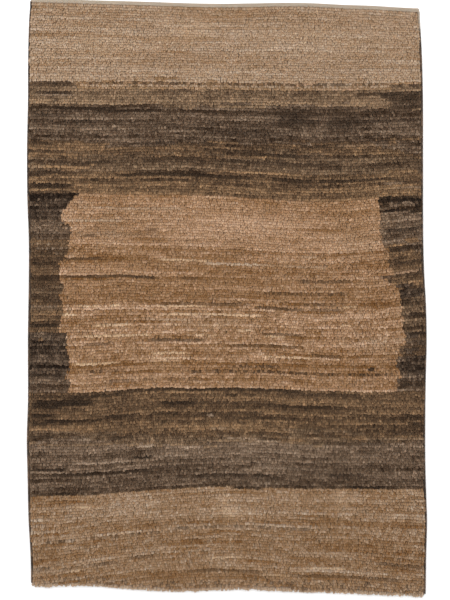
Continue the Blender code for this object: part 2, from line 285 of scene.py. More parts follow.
# Streaks and dotted rows, knotted in this order over the passages and the patches.
STREAKS = (
    Streak(51.0, 161, 187, 1, Yarn.OCHRE, 0.50),
    Streak(77.5, 259, 310, 1, Yarn.BRONZE, 0.50, every=3),
    Streak(83.5, 30, 78, 2, Yarn.UMBER, 0.60),
    Streak(85.5, 30, 70, 1, Yarn.CHARCOAL, 0.45, every=2),
    Streak(86.5, 392, 422, 1, Yarn.CHARCOAL, 0.60, every=2),
    Streak(83.5, 92, 385, 1.4, Yarn.UMBER, 0.62, every=2),
    Streak(87.0, 77, 388, 1.4, Yarn.SAND, 0.62, every=2),
    Streak(92.5, 32, 78, 1.4, Yarn.CHARCOAL, 0.75),
    Streak(95.5, 38, 78, 1, Yarn.TAUPE, 0.80),
    Streak(95.5, 355, 386, 1, Yarn.UMBER, 0.80),
    Streak(96.0, 384, 424, 3, Yarn.CHARCOAL, 0.75),
    Streak(104.0, 387, 424, 3, Yarn.CHARCOAL, 0.70),
    Streak(103.0, 386, 418, 1, Yarn.TAUPE, 0.50, every=3),
    Streak(101.0, 50, 60, 4, Yarn.CHARCOAL, 0.40, every=3),
    Streak(107.5, 52, 112, 1.4, Yarn.CHARCOAL, 0.75),
    Streak(109.5, 108, 160, 1, Yarn.CHARCOAL, 0.55),
    Streak(111.5, 160, 385, 1, Yarn.UMBER, 0.60),
    Streak(118.0, 276, 308, 6, Yarn.CHARCOAL, 0.38),
    Streak(124.0, 330, 362, 4, Yarn.CHARCOAL, 0.35),
    Streak(116.5, 30, 62, 1.4, Yarn.CHARCOAL, 0.55),
    Streak(121.0, 60, 102, 1.4, Yarn.CHARCOAL, 0.45),
    Streak(120.5, 300, 420, 1, Yarn.CHARCOAL, 0.45),
    Streak(133.0, 215, 290, 1.4, Yarn.CHARCOAL, 0.30),
    Streak(143.0, 30, 52, 1, Yarn.CHARCOAL, 0.60),
    Streak(143.0, 130, 216, 1, Yarn.CHARCOAL, 0.40),
    Streak(145.0, 300, 330, 1, Yarn.CHARCOAL, 0.60),
    Streak(146.5, 335, 410, 1, Yarn.TAUPE, 0.35),
    Streak(150.5, 198, 262, 1, Yarn.CHARCOAL, 0.55),
    Streak(155.0, 255, 312, 1, Yarn.CHARCOAL, 0.60),
    Streak(158.0, 138, 205, 1.4, Yarn.CHARCOAL, 0.50),
    Streak(161.5, 84, 116, 1, Yarn.CHARCOAL, 0.40),
    Streak(164.5, 230, 330, 1, Yarn.CHARCOAL, 0.50),
    Streak(172.0, 30, 82, 1.4, Yarn.CHARCOAL, 0.35),
    Streak(174.0, 118, 196, 1, Yarn.CHARCOAL, 0.75),
    Streak(176.5, 194, 246, 1.4, Yarn.CHARCOAL, 0.75),
    Streak(182.0, 275, 320, 1.4, Yarn.CHARCOAL, 0.75),
    Streak(180.5, 316, 394, 1, Yarn.CHARCOAL, 0.65),
    Streak(183.5, 383, 402, 1, Yarn.TAUPE, 0.80),
    Streak(188.0, 392, 424, 1, Yarn.TAUPE, 0.60),
    Streak(185.0, 30, 74, 1.7, Yarn.CHARCOAL, 0.90),
    Streak(192.0, 30, 72, 1, Yarn.CHARCOAL, 0.50),
    Streak(201.5, 388, 418, 1, Yarn.TAUPE, 0.90, every=3),
    Streak(200.0, 34, 66, 1, Yarn.TAUPE, 0.60, every=3),
    Streak(223.5, 33, 66, 1, Yarn.SAND, 0.30),
    Streak(233.0, 33, 70, 1, Yarn.SAND, 0.30),
    Streak(229.0, 384, 420, 1, Yarn.CHARCOAL, 0.65),
    Streak(243.0, 33, 64, 1, Yarn.SAND, 0.55, every=3),
    Streak(247.5, 36, 69, 1, Yarn.SAND, 0.55, every=3),
    Streak(254.0, 49, 62, 1, Yarn.SAND, 0.45, every=3),
    Streak(247.0, 384, 422, 1.4, Yarn.CHARCOAL, 0.50),
    Streak(262.5, 392, 422, 1, Yarn.CHARCOAL, 0.50),
    Streak(275.5, 380, 422, 1, Yarn.CHARCOAL, 0.65),
    Streak(273.0, 392, 420, 1, Yarn.HONEY, 0.55),
    Streak(307.0, 30, 58, 1, Yarn.TAUPE, 0.70),
    Streak(314.0, 404, 424, 1.4, Yarn.CHARCOAL, 0.60),
    Streak(325.5, 29, 59, 1, Yarn.CHARCOAL, 0.95),
    Streak(343.0, 407, 424, 1, Yarn.TAUPE, 0.70, every=3),
    Streak(356.0, 34, 66, 1, Yarn.TAUPE, 0.60, every=3),
    Streak(373.5, 30, 66, 1, Yarn.CHARCOAL, 0.80),
    Streak(384.0, 396, 424, 1, Yarn.CHARCOAL, 0.60),
    Streak(207.0, 78, 182, 1, Yarn.SAND, 0.50),
    Streak(219.5, 66, 122, 1, Yarn.SAND, 0.60),
    Streak(213.0, 160, 250, 1, Yarn.OCHRE, 0.30, every=3),
    Streak(213.5, 290, 378, 1, Yarn.OCHRE, 0.50, every=3),
    Streak(229.5, 140, 160, 1.4, Yarn.UMBER, 0.40),
    Streak(236.0, 83, 97, 1, Yarn.UMBER, 0.50),
    Streak(239.5, 130, 168, 1, Yarn.OCHRE, 0.70),
    Streak(231.0, 308, 346, 1, Yarn.OCHRE, 0.70),
    Streak(233.0, 72, 150, 1.4, Yarn.TAUPE, 0.30),
    Streak(252.5, 200, 380, 1, Yarn.OCHRE, 0.40, every=3),
    Streak(254.5, 88, 152, 1, Yarn.OCHRE, 0.80),
    Streak(258.5, 62, 102, 1, Yarn.UMBER, 0.60),
    Streak(256.5, 165, 232, 1, Yarn.OCHRE, 0.50),
    Streak(260.5, 158, 212, 1, Yarn.CREAM, 0.60),
    Streak(262.5, 205, 262, 1, Yarn.SAND, 0.80),
    Streak(255.5, 300, 316, 1, Yarn.SAND, 0.40),
    Streak(265.0, 262, 330, 1, Yarn.SAND, 0.40),
    Streak(275.5, 62, 140, 1, Yarn.UMBER, 0.65),
    Streak(276.5, 134, 157, 1, Yarn.UMBER, 0.75),
    Streak(277.5, 184, 198, 1.4, Yarn.UMBER, 0.35),
    Streak(281.0, 298, 352, 1, Yarn.UMBER, 0.45),
    Streak(288.0, 335, 390, 1, Yarn.OCHRE, 0.60, every=3),
    Streak(293.0, 256, 345, 1, Yarn.UMBER, 0.60, every=3),
    Streak(294.0, 172, 192, 1, Yarn.OCHRE, 0.70),
    Streak(304.0, 158, 250, 1, Yarn.UMBER, 0.35),
    Streak(304.0, 300, 345, 1, Yarn.UMBER, 0.45, every=3),
    Streak(306.5, 79, 100, 1, Yarn.CREAM, 0.55),
    Streak(306.0, 111, 120, 1, Yarn.CREAM, 0.75),
    Streak(306.5, 160, 207, 1, Yarn.CREAM, 0.50),
    Streak(308.5, 256, 302, 1, Yarn.UMBER, 0.55),
    Streak(309.0, 308, 342, 1, Yarn.UMBER, 0.35),
    Streak(308.0, 340, 357, 1, Yarn.CREAM, 0.50),
    Streak(314.0, 63, 76, 1, Yarn.CREAM, 0.90),
    Streak(314.0, 165, 202, 1, Yarn.CREAM, 0.50),
    Streak(315.5, 204, 262, 1, Yarn.CREAM, 0.60),
    Streak(318.5, 210, 272, 1, Yarn.OCHRE, 0.65),
    Streak(318.0, 146, 190, 1, Yarn.SAND, 0.50),
    Streak(324.5, 94, 132, 1, Yarn.CREAM, 0.60),
    Streak(325.0, 160, 232, 1, Yarn.CREAM, 0.45, every=3),
    Streak(329.0, 238, 254, 1, Yarn.CREAM, 0.65),
    Streak(326.0, 340, 352, 1, Yarn.CREAM, 0.50),
    Streak(332.5, 262, 302, 1, Yarn.UMBER, 0.45),
    Streak(335.5, 82, 151, 1, Yarn.CREAM, 0.60),
    Streak(334.5, 186, 222, 1, Yarn.CREAM, 0.40, every=3),
    Streak(335.0, 262, 286, 1, Yarn.CREAM, 0.50),
    Streak(340.5, 150, 204, 1, Yarn.UMBER, 0.55),
    Streak(343.0, 84, 112, 1, Yarn.UMBER, 0.40),
    Streak(342.0, 356, 402, 1.4, Yarn.SAND, 0.50, every=3),
    Streak(345.5, 230, 300, 1, Yarn.UMBER, 0.35),
    Streak(351.5, 151, 186, 1, Yarn.CREAM, 0.65),
    Streak(357.5, 264, 314, 1, Yarn.CREAM, 0.40),
    Streak(356.5, 312, 342, 1, Yarn.UMBER, 0.40),
    Streak(359.0, 150, 186, 1.4, Yarn.CREAM, 0.40, every=3),
    Streak(364.5, 73, 98, 1, Yarn.CREAM, 0.75),
    Streak(362.5, 96, 120, 1, Yarn.CREAM, 0.60),
    Streak(366.0, 228, 278, 1, Yarn.UMBER, 0.60, every=3),
    Streak(371.0, 88, 132, 1, Yarn.CHARCOAL, 0.55, every=3),
    Streak(371.5, 190, 336, 1, Yarn.CHARCOAL, 0.60, every=3),
    Streak(374.5, 326, 394, 1, Yarn.UMBER, 0.75, every=3),
    Streak(368.5, 367, 375, 1, Yarn.CHARCOAL, 0.90),
    Streak(377.5, 108, 200, 1, Yarn.UMBER, 0.35, every=3),
    Streak(385.0, 78, 110, 1.4, Yarn.SAND, 0.30),
    Streak(390.0, 118, 300, 1, Yarn.CHARCOAL, 0.55),
    Streak(395.0, 66, 122, 1, Yarn.CHARCOAL, 0.70),
    Streak(394.5, 288, 362, 1.4, Yarn.CHARCOAL, 0.50),
    Streak(397.0, 30, 64, 1, Yarn.CHARCOAL, 0.50),
    Streak(399.5, 66, 92, 1, Yarn.CHARCOAL, 0.55),
    Streak(403.5, 30, 88, 2, Yarn.CHARCOAL, 0.90),
    Streak(408.0, 30, 62, 1, Yarn.CHARCOAL, 0.80),
    Streak(403.5, 166, 191, 1.4, Yarn.CHARCOAL, 1.00),
    Streak(403.0, 190, 262, 1, Yarn.CHARCOAL, 0.40),
    Streak(407.5, 262, 340, 1, Yarn.CHARCOAL, 0.40),
    Streak(412.0, 152, 182, 1, Yarn.CHARCOAL, 0.60),
    Streak(411.0, 196, 262, 1, Yarn.CHARCOAL, 0.45),
    Streak(416.5, 30, 58, 1.4, Yarn.CHARCOAL, 1.00),
    Streak(420.5, 38, 74, 1.4, Yarn.CHARCOAL, 0.95),
    Streak(424.5, 30, 46, 1, Yarn.CHARCOAL, 0.60),
    Streak(415.5, 104, 138, 1, Yarn.CHARCOAL, 0.70),
    Streak(414.0, 206, 214, 1, Yarn.SAND, 0.70),
    Streak(417.0, 222, 300, 1, Yarn.CHARCOAL, 0.40),
    Streak(415.5, 403, 422, 1, Yarn.CHARCOAL, 0.75),
    Streak(424.0, 412, 421, 1, Yarn.CHARCOAL, 0.80),
    Streak(427.0, 296, 330, 1, Yarn.CHARCOAL, 0.45),
    Streak(438.0, 30, 54, 1, Yarn.CHARCOAL, 0.55),
    Streak(436.0, 108, 128, 1, Yarn.CHARCOAL, 0.55),
    Streak(444.5, 138, 156, 1, Yarn.SAND, 0.65),
    Streak(440.0, 80, 92, 1, Yarn.SAND, 0.50),
    Streak(445.5, 182, 194, 1, Yarn.SAND, 0.60),
    Streak(438.0, 224, 262, 1, Yarn.SAND, 0.40),
    Streak(440.0, 252, 280, 1, Yarn.SAND, 0.50),
    Streak(450.5, 240, 300, 1, Yarn.SAND, 0.35),
    Streak(444.5, 310, 380, 1, Yarn.CHARCOAL, 0.40),
    Streak(456.5, 134, 152, 1, Yarn.CHARCOAL, 0.95),
    Streak(456.5, 154, 186, 1, Yarn.SAND, 0.45),
    Streak(462.0, 72, 134, 1, Yarn.SAND, 0.45),
    Streak(470.5, 30, 66, 1, Yarn.CHARCOAL, 0.85),
    Streak(474.5, 50, 112, 1, Yarn.CHARCOAL, 0.60),
    Streak(470.0, 110, 152, 1, Yarn.CHARCOAL, 0.55),
    Streak(466.5, 150, 192, 1, Yarn.CHARCOAL, 0.45),
    Streak(468.0, 254, 330, 1, Yarn.SAND, 0.35),
    Streak(475.0, 190, 248, 1.4, Yarn.CHARCOAL, 0.45),
    Streak(475.0, 248, 277, 1.4, Yarn.CHARCOAL, 0.85),
    Streak(475.5, 328, 366, 1.4, Yarn.CHARCOAL, 0.65),
    Streak(481.5, 254, 286, 1, Yarn.SAND, 0.60, every=3),
    Streak(486.0, 232, 262, 1, Yarn.CHARCOAL, 0.85),
    Streak(486.5, 348, 386, 1, Yarn.CHARCOAL, 0.85),
    Streak(493.0, 58, 78, 1, Yarn.CHARCOAL, 0.60),
    Streak(507.5, 76, 93, 1, Yarn.CREAM, 0.65),
    Streak(513.0, 226, 236, 3, Yarn.CREAM, 0.25),
    Streak(522.0, 285, 412, 1, Yarn.OCHRE, 0.60),
    Streak(526.0, 174, 334, 1, Yarn.UMBER, 0.40, every=3),
    Streak(533.0, 128, 176, 1, Yarn.UMBER, 0.35, every=3),
    Streak(537.0, 90, 132, 1, Yarn.UMBER, 0.45, every=3),
    Streak(540.5, 43, 72, 1, Yarn.UMBER, 0.55, every=3),
    Streak(556.5, 206, 242, 1, Yarn.CREAM, 0.55),
    Streak(556.0, 128, 154, 1, Yarn.UMBER, 0.35),
    Streak(562.5, 96, 118, 1, Yarn.UMBER, 0.40),
    Streak(566.0, 56, 98, 1, Yarn.UMBER, 0.20),
    Streak(557.5, 286, 332, 1, Yarn.OCHRE, 0.60),
    Streak(571.5, 32, 64, 1, Yarn.SAND, 0.55),
    Streak(569.5, 68, 82, 1, Yarn.CREAM, 0.50),
    Streak(569.0, 30, 52, 1, Yarn.UMBER, 0.30),
    Streak(570.0, 186, 262, 1, Yarn.UMBER, 0.35),
    Streak(568.5, 304, 346, 1, Yarn.CREAM, 0.45),
    Streak(566.5, 380, 424, 1.4, Yarn.UMBER, 0.35),
    Streak(573.5, 258, 300, 1, Yarn.CREAM, 0.40),
    Streak(576.0, 288, 400, 1, Yarn.UMBER, 0.35),
)

# Soft patches, laid in this order over the passages, before the streaks.
PATCHES = (
    Patch(95, 20, 50, 10, Yarn.OCHRE, 0.12),
    Patch(225, 12, 60, 8, Yarn.OCHRE, 0.20),
    Patch(190, 32, 22, 10, Yarn.CREAM, 0.25),
    Patch(105, 45, 35, 12, Yarn.CREAM, 0.15),
    Patch(330, 40, 60, 14, Yarn.CREAM, 0.12),
    Patch(292, 119, 20, 9, Yarn.CHARCOAL, 0.40),
    Patch(348, 124, 22, 7, Yarn.CHARCOAL, 0.35),
    Patch(320, 130, 12, 9, Yarn.TAUPE, 0.30),
    Patch(235, 131, 60, 8, Yarn.CHARCOAL, 0.18),
    Patch(100, 152, 70, 5, Yarn.BRONZE, 0.25),
    Patch(238, 229, 58, 19, Yarn.HONEY, 0.50),
    Patch(112, 232, 12, 12, Yarn.SAND, 0.30),
    Patch(112, 225, 38, 19, Yarn.OCHRE, 0.30),
    Patch(347, 222, 36, 19, Yarn.OCHRE, 0.36),
    Patch(355, 240, 26, 12, Yarn.SAND, 0.18),
    Patch(240, 279, 70, 6, Yarn.OCHRE, 0.22),
    Patch(110, 268, 50, 5, Yarn.HONEY, 0.20),
    Patch(215, 322, 34, 9, Yarn.SAND, 0.22),
    Patch(380, 347, 24, 12, Yarn.SAND, 0.20),
    Patch(240, 369, 60, 4, Yarn.OCHRE, 0.30),
    Patch(165, 362, 14, 5, Yarn.CREAM, 0.20),
    Patch(60, 447, 50, 8, Yarn.TAUPE, 0.22),
    Patch(250, 448, 70, 6, Yarn.TAUPE, 0.18),
    Patch(228, 505, 9, 14, Yarn.CREAM, 0.30),
    Patch(342, 498, 10, 12, Yarn.CREAM, 0.25),
    Patch(326, 512, 9, 18, Yarn.OCHRE, 0.30),
    Patch(260, 503, 40, 10, Yarn.SAND, 0.18),
    Patch(110, 512, 40, 9, Yarn.SAND, 0.15),
    Patch(380, 547, 50, 8, Yarn.OCHRE, 0.25),
    Patch(255, 547, 40, 6, Yarn.OCHRE, 0.25),
    Patch(75, 554, 50, 6, Yarn.OCHRE, 0.25),
    Patch(185, 576, 70, 5, Yarn.OCHRE, 0.30),
)


@dataclass(frozen=True)
class PhotoFrame:
    """Where the photograph's pixels lie on the rug."""

    metres_per_pixel: float = 0.00253
    rug_x: float = 226.9
    rug_y: float = 298.4
    width: int = 450
    height: int = 600

    def to_x(self, pixel: np.ndarray | float) -> np.ndarray | float:
        """World x of a photo x."""
        return (pixel - self.rug_x) * self.metres_per_pixel

    def to_y(self, pixel: np.ndarray | float) -> np.ndarray | float:
        """World y of a photo y."""
        return (self.rug_y - pixel) * self.metres_per_pixel

    def pixel_x(self, x: np.ndarray) -> np.ndarray:
        """Photo x of a world x."""
        return self.rug_x + x / self.metres_per_pixel

    def pixel_y(self, y: np.ndarray) -> np.ndarray:
        """Photo y of a world y."""
        return self.rug_y - y / self.metres_per_pixel


PHOTO = PhotoFrame()


class Solid:
    """One CAD node, probed with rays for the places of its walls and its top.

    A wall is followed up to the node's eased corners, and goes straight on from there.
    """

    probe_height: float = 0.001
    far_away: float = 2.0
    look_down_from: float = 1.0
    samples: int = 400
    wall_depth: float = 0.05
    corner: float = 0.014
    corner_share: float = 0.2

    def __init__(self, node: str) -> None:
        """Reads the node's mesh.

        Args:
            node: The CAD node's name.
        """
        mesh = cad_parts[node].data
        points = [v.co.copy() for v in mesh.vertices]
        faces = [tuple(p.vertices) for p in mesh.polygons]
        self.tree = BVHTree.FromPolygons(points, faces)
        self.low, self.high = (np.array(corner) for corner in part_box(node))

    def wall(self, axis: int, sign: float, along: np.ndarray) -> np.ndarray:
        """Where the outer wall stands, seen from one side.

        Args:
            axis: 0 for a wall that faces along x, 1 for one that faces along y.
            sign: -1 for the wall on the low side, 1 for the one on the high side.
            along: Places on the other axis.

        Returns:
            The wall's coordinate on the axis at each place.
        """
        other = 1 - axis
        inset = min(self.corner, self.corner_share * (self.high[other] - self.low[other]))
        stations = np.linspace(self.low[other] + inset, self.high[other] - inset, self.samples)
        found = np.full(self.samples, np.nan)
        for i, place in enumerate(stations):
            start = Vector((0.0, 0.0, self.probe_height))
            start[axis] = sign * self.far_away
            start[other] = place
            way = Vector((0.0, 0.0, 0.0))
            way[axis] = -sign
            hit = self.tree.ray_cast(start, way)[0]
            if hit is not None:
                found[i] = hit[axis]
        outermost = self.high[axis] if sign > 0.0 else self.low[axis]
        good = np.abs(found - outermost) < self.wall_depth
        return np.interp(along, stations[good], found[good])

    def top(self, x: np.ndarray, y: np.ndarray, missing: float) -> np.ndarray:
        """The height of the node's top over each point.

        Args:
            x: World x of the points.
            y: World y of the points.
            missing: The height where the node isn't under the point.

        Returns:
            One height a point.
        """
        down = Vector((0.0, 0.0, -1.0))
        heights = np.full(x.shape, missing)
        for i, (px, py) in enumerate(zip(x.flat, y.flat)):
            hit = self.tree.ray_cast(Vector((px, py, self.look_down_from)), down)[0]
            if hit is not None:
                heights.flat[i] = hit[2]
        return heights


def empty_array() -> np.ndarray:
    """An empty array, which stands until the real one is worked out."""
    return np.zeros(0)


@dataclass
class Warp:
    """The grid of knots: rows along the row lines, columns along the warps, all in metres."""

    columns: int = 197
    side_inset: float = 0.0021
    far_inset: float = 0.0030
    near_inset: float = 0.0076
    stagger: float = 0.25
    stagger_spread: float = 0.14
    corner_radius: float = 0.0030
    settle_passes: int = 2
    seed: int = 3
    shape: tuple[int, int] = (0, 0)
    x: np.ndarray = field(default_factory=empty_array)
    y: np.ndarray = field(default_factory=empty_array)
    kept: np.ndarray = field(default_factory=empty_array)
    last: np.ndarray = field(default_factory=empty_array)

    def lay(self, solid: Solid) -> None:
        """Places every knot of the field.

        Args:
            solid: The pile field's CAD node.
        """
        rows = 1 + sum(line.rows for line in ROW_LINES)
        self.shape = (rows, self.columns)
        share = (np.arange(self.columns) + MIDDLE) / self.columns
        x = solid.low[0] + (solid.high[0] - solid.low[0]) * share
        x = np.repeat(x[None, :], rows, axis=0)
        for _ in range(self.settle_passes):
            y = self.row_heights(solid, x)
            left = solid.wall(0, -1.0, y.ravel()).reshape(self.shape) + self.side_inset
            right = solid.wall(0, 1.0, y.ravel()).reshape(self.shape) - self.side_inset
            x = left + (right - left) * (np.arange(self.columns) / (self.columns - 1))[None, :]
        rng = np.random.default_rng(self.seed)
        phase = self.stagger * np.where(np.arange(rows) % 2 == 0, 1.0, -1.0)
        phase = (phase + rng.uniform(-self.stagger_spread, self.stagger_spread, rows))[:, None]
        pitch = (solid.high[0] - solid.low[0]) / self.columns
        columns = np.arange(self.columns)
        inside = np.clip(np.minimum(columns, self.columns - 1 - columns), 0, 1)
        self.x, self.y = x + pitch * phase * inside[None, :], y
        self.end_rows(solid)

    def end_rows(self, solid: Solid) -> None:
        """Ends every column on the near end: the rows past it go, and the last one is drawn to it.

        Args:
            solid: The pile field's CAD node.
        """
        end = solid.wall(1, -1.0, self.x[0]) + self.near_inset
        to_side = np.minimum(self.x[0] - self.x[0, 0], self.x[0, -1] - self.x[0])
        into = np.clip(self.corner_radius - to_side, 0.0, None)
        end += self.corner_radius - np.sqrt(self.corner_radius**2 - into**2)
        pitch = self.y[:-1] - self.y[1:]
        pitch = np.concatenate([pitch, pitch[-1:]])
        self.kept = self.y > end[None, :] - pitch / 2.0
        rows = np.arange(self.shape[0])[:, None]
        self.last = np.where(self.kept, rows, 0).max(axis=0)
        columns = np.arange(self.columns)
        self.y[self.last, columns] = end

    def row_heights(self, solid: Solid, x: np.ndarray) -> np.ndarray:
        """World y of every knot, between the field's far end and the row lines.

        Args:
            solid: The pile field's CAD node.
            x: World x of every knot.

        Returns:
            An array like x.
        """
        line_x = PHOTO.to_x(np.array(ROW_LINE_X, dtype=float))
        far_end = solid.wall(1, 1.0, x[0]) - self.far_inset
        lines = [far_end] + [smooth_curve(x[0], line_x, PHOTO.to_y(np.array(line.y))) for line in ROW_LINES]
        counts = np.cumsum([0] + [line.rows for line in ROW_LINES])
        rows = np.arange(self.shape[0])
        heights = [np.interp(rows, counts, [line[k] for line in lines]) for k in range(self.columns)]
        return np.stack(heights, axis=1)

    def row_at(self, photo_x: float, photo_y: float) -> float:
        """The row number, with its fraction, that passes through a point of the photograph.

        Args:
            photo_x: Photo x of the point.
            photo_y: Photo y of the point.

        Returns:
            The row number, counted from the far end.
        """
        middle = self.x[self.shape[0] // 2]
        column = int(np.argmin(np.abs(middle - PHOTO.to_x(photo_x))))
        return float(np.interp(-PHOTO.to_y(photo_y), -self.y[:, column], np.arange(self.shape[0])))


def smooth_curve(x: np.ndarray, stations: np.ndarray, values: np.ndarray) -> np.ndarray:
    """A smooth curve through a few stations.

    Args:
        x: Where the curve is wanted.
        stations: Rising places of the known values.
        values: The known values.

    Returns:
        The curve's value at each x.
    """
    slopes = np.gradient(values, stations)
    x = np.clip(x, stations[0], stations[-1])
    i = np.clip(np.searchsorted(stations, x) - 1, 0, len(stations) - 2)
    span = stations[i + 1] - stations[i]
    t = (x - stations[i]) / span
    # The weights of a cubic curve between two points with known slopes.
    ends = (2 * t**3 - 3 * t**2 + 1) * values[i] + (3 * t**2 - 2 * t**3) * values[i + 1]
    bend = (t**3 - 2 * t**2 + t) * slopes[i] + (t**3 - t**2) * slopes[i + 1]
    return ends + bend * span


def blurred(noise: np.ndarray, across: float, along: float) -> np.ndarray:
    """Blurs a grid of noise along its rows and across them, and brings it back to unit spread.

    Args:
        noise: Rows by columns of noise.
        across: The blur's reach along a row, in knots.
        along: The blur's reach from row to row, in rows.

    Returns:
        A grid of the same shape.
    """
    for axis, reach in ((1, across), (0, along)):
        if reach <= 0.0:
            continue
        half = max(1, int(BLUR_TAIL * reach))
        kernel = np.exp(-((np.arange(-half, half + 1) / reach) ** 2) / 2.0)
        pad = [(0, 0), (0, 0)]
        pad[axis] = (half, half)
        padded = np.pad(noise, pad, mode="reflect")
        noise = np.apply_along_axis(np.convolve, axis, padded, kernel / kernel.sum(), mode="valid")
    return (noise - noise.mean()) / noise.std()


def linear_light(srgb: np.ndarray) -> np.ndarray:
    """Linear values of sRGB shares."""
    upper = ((np.clip(srgb, 0, None) + SRGB_OFFSET) / (1.0 + SRGB_OFFSET)) ** SRGB_POWER
    return np.where(srgb <= SRGB_KNEE, srgb / SRGB_SLOPE, upper)


@dataclass
class Design:
    """The rug's design: which zone each knot is in, and the colour of its yarn.

    The strengths are shares of the way between a passage's two yarns, and every run is the reach of a
    change along the row, in knots. Feather, fray, taper and ragged ends are in pixels of the photograph.
    """

    seed: int = 41
    heather: float = 0.115
    row_change: float = 0.10
    row_blend: float = 0.5
    long_streaks: float = 0.085
    long_run: float = 22.0
    middle_streaks: float = 0.105
    middle_run: float = 7.0
    short_streaks: float = 0.085
    short_run: float = 1.6
    threads: float = 0.15
    thread_run: float = 9.0
    thread_pale_from: float = 1.4
    thread_dark_from: float = 1.5
    speck_chance: float = 0.15
    speck_rise: float = 0.26
    side_jitter: float = 0.5
    feather: float = 3.0
    feather_run: float = 14.0
    feather_rows: float = 0.7
    fray: float = 1.3
    fray_run: float = 2.5
    patch_spread: tuple[float, float] = (0.4, 1.6)
    share_limits: tuple[float, float] = (-0.15, 1.15)
    knot_shade: float = 0.035
    gain: float = 1.03
    between_dots: float = 0.22
    dot_share: float = 1.2
    taper: float = 7.0
    taper_share: float = 0.35
    taper_start: float = 0.4
    ragged_ends: float = 6.0
    streak_spread: tuple[float, float] = (0.75, 1.15)
    end_paleness: float = 0.75
    end_dots: float = 0.20
    end_dot_rows: tuple[int, ...] = (1, 2, 3)
    end_dot_strength: float = 0.45
    zone: np.ndarray = field(default_factory=empty_array)
    srgb: np.ndarray = field(default_factory=empty_array)

    def chart(self, warp: Warp) -> None:
        """Works out every knot's zone and colour.

        Args:
            warp: The laid grid of knots.
        """
        rng = np.random.default_rng(self.seed)
        px, py = PHOTO.pixel_x(warp.x), PHOTO.pixel_y(warp.y)
        self.zone = self.zones(rng, warp, px, py)
        share = self.abrash(rng, warp.shape)
        feathered = blurred(rng.standard_normal(warp.shape), self.feather_run, self.feather_rows)
        frayed = blurred(rng.standard_normal(warp.shape), self.fray_run, 0.0)
        edge = py + self.feather * feathered + self.fray * frayed
        self.srgb = np.zeros(warp.shape + (3,))
        for zone, passages in PASSAGES.items():
            inside = self.zone == zone.name
            self.srgb[inside] = self.blend(passages, edge[inside], share[inside])
        for patch in PATCHES:
            off = ((px - patch.x) / patch.reach_x) ** 2 + ((py - patch.y) / patch.reach_y) ** 2
            weight = patch.strength * np.exp(-off) * rng.uniform(*self.patch_spread, warp.shape)
            self.srgb += (patch.yarn.srgb() - self.srgb) * np.clip(weight, 0.0, 1.0)[..., None]
        for streak in STREAKS:
            self.lay_streak(rng, warp, px, streak)
        self.end_row(rng, warp)
        shade = 1.0 + self.knot_shade * rng.standard_normal(warp.shape)
        self.srgb = np.clip(self.srgb * shade[..., None], 0.0, 1.0)

    def end_row(self, rng: np.random.Generator, warp: Warp) -> None:
        """Knots the last row at the near end in paler yarn, with darker knots here and there before it.

        Args:
            rng: The source of random numbers.
            warp: The laid grid of knots.
        """
        columns = np.arange(warp.columns)
        sand, bark = Yarn.SAND.srgb(), Yarn.BARK.srgb()
        self.srgb[warp.last, columns] += (sand - self.srgb[warp.last, columns]) * self.end_paleness
        for back in self.end_dot_rows:
            chosen = rng.random(warp.columns) < self.end_dots
            rows = warp.last[chosen] - back
            dots = self.srgb[rows, columns[chosen]]
            self.srgb[rows, columns[chosen]] = dots + (bark - dots) * self.end_dot_strength

    def zones(self, rng: np.random.Generator, warp: Warp, px: np.ndarray, py: np.ndarray) -> np.ndarray:
        """Sorts the knots into the zones of the design.

        Args:
            rng: The source of random numbers, for the rectangle's ragged sides.
            warp: The laid grid of knots.
            px: Photo x of every knot.
            py: Photo y of every knot.

        Returns:
            The zone's name for every knot.
        """
        counts = np.cumsum([line.rows for line in ROW_LINES])
        ends = {line.name: count for line, count in zip(ROW_LINES, counts)}
        row = np.repeat(np.arange(warp.shape[0])[:, None], warp.shape[1], axis=1)
        zone = np.full(warp.shape, Zone.BOTTOM_BAND.name, dtype=object)
        zone[row < ends["lower brown ends"]] = Zone.LOWER_BROWN.name
        zone[row < ends["rectangle ends"]] = Zone.RECTANGLE.name
        zone[row < ends["rectangle starts"]] = Zone.UPPER_BROWN.name
        early = ((px < EARLY_BROWN_LEFT.x) & (py > EARLY_BROWN_LEFT.y)) | (
            (px > EARLY_BROWN_RIGHT.x) & (py > EARLY_BROWN_RIGHT.y)
        )
        zone[(row <= ends["top band ends"]) & ~early] = Zone.TOP_BAND.name
        middle = zone == Zone.RECTANGLE.name
        ragged = rng.normal(0.0, self.side_jitter, (2, warp.shape[0], 1))
        zone[middle & (px < self.side(LEFT_STEPS, py) + ragged[0])] = Zone.LEFT_BORDER.name
        zone[middle & (px > self.side(RIGHT_STEPS, py) + ragged[1])] = Zone.RIGHT_BORDER.name
        return zone

    def side(self, steps: tuple[Step, ...], py: np.ndarray) -> np.ndarray:
        """Reads the rectangle's stepped side.

        Args:
            steps: The side's points, from the far one to the near one.
            py: Photo y of the knots.

        Returns:
            Photo x of the side for every photo y.
        """
        return np.interp(py, [step.y for step in steps], [step.x for step in steps])

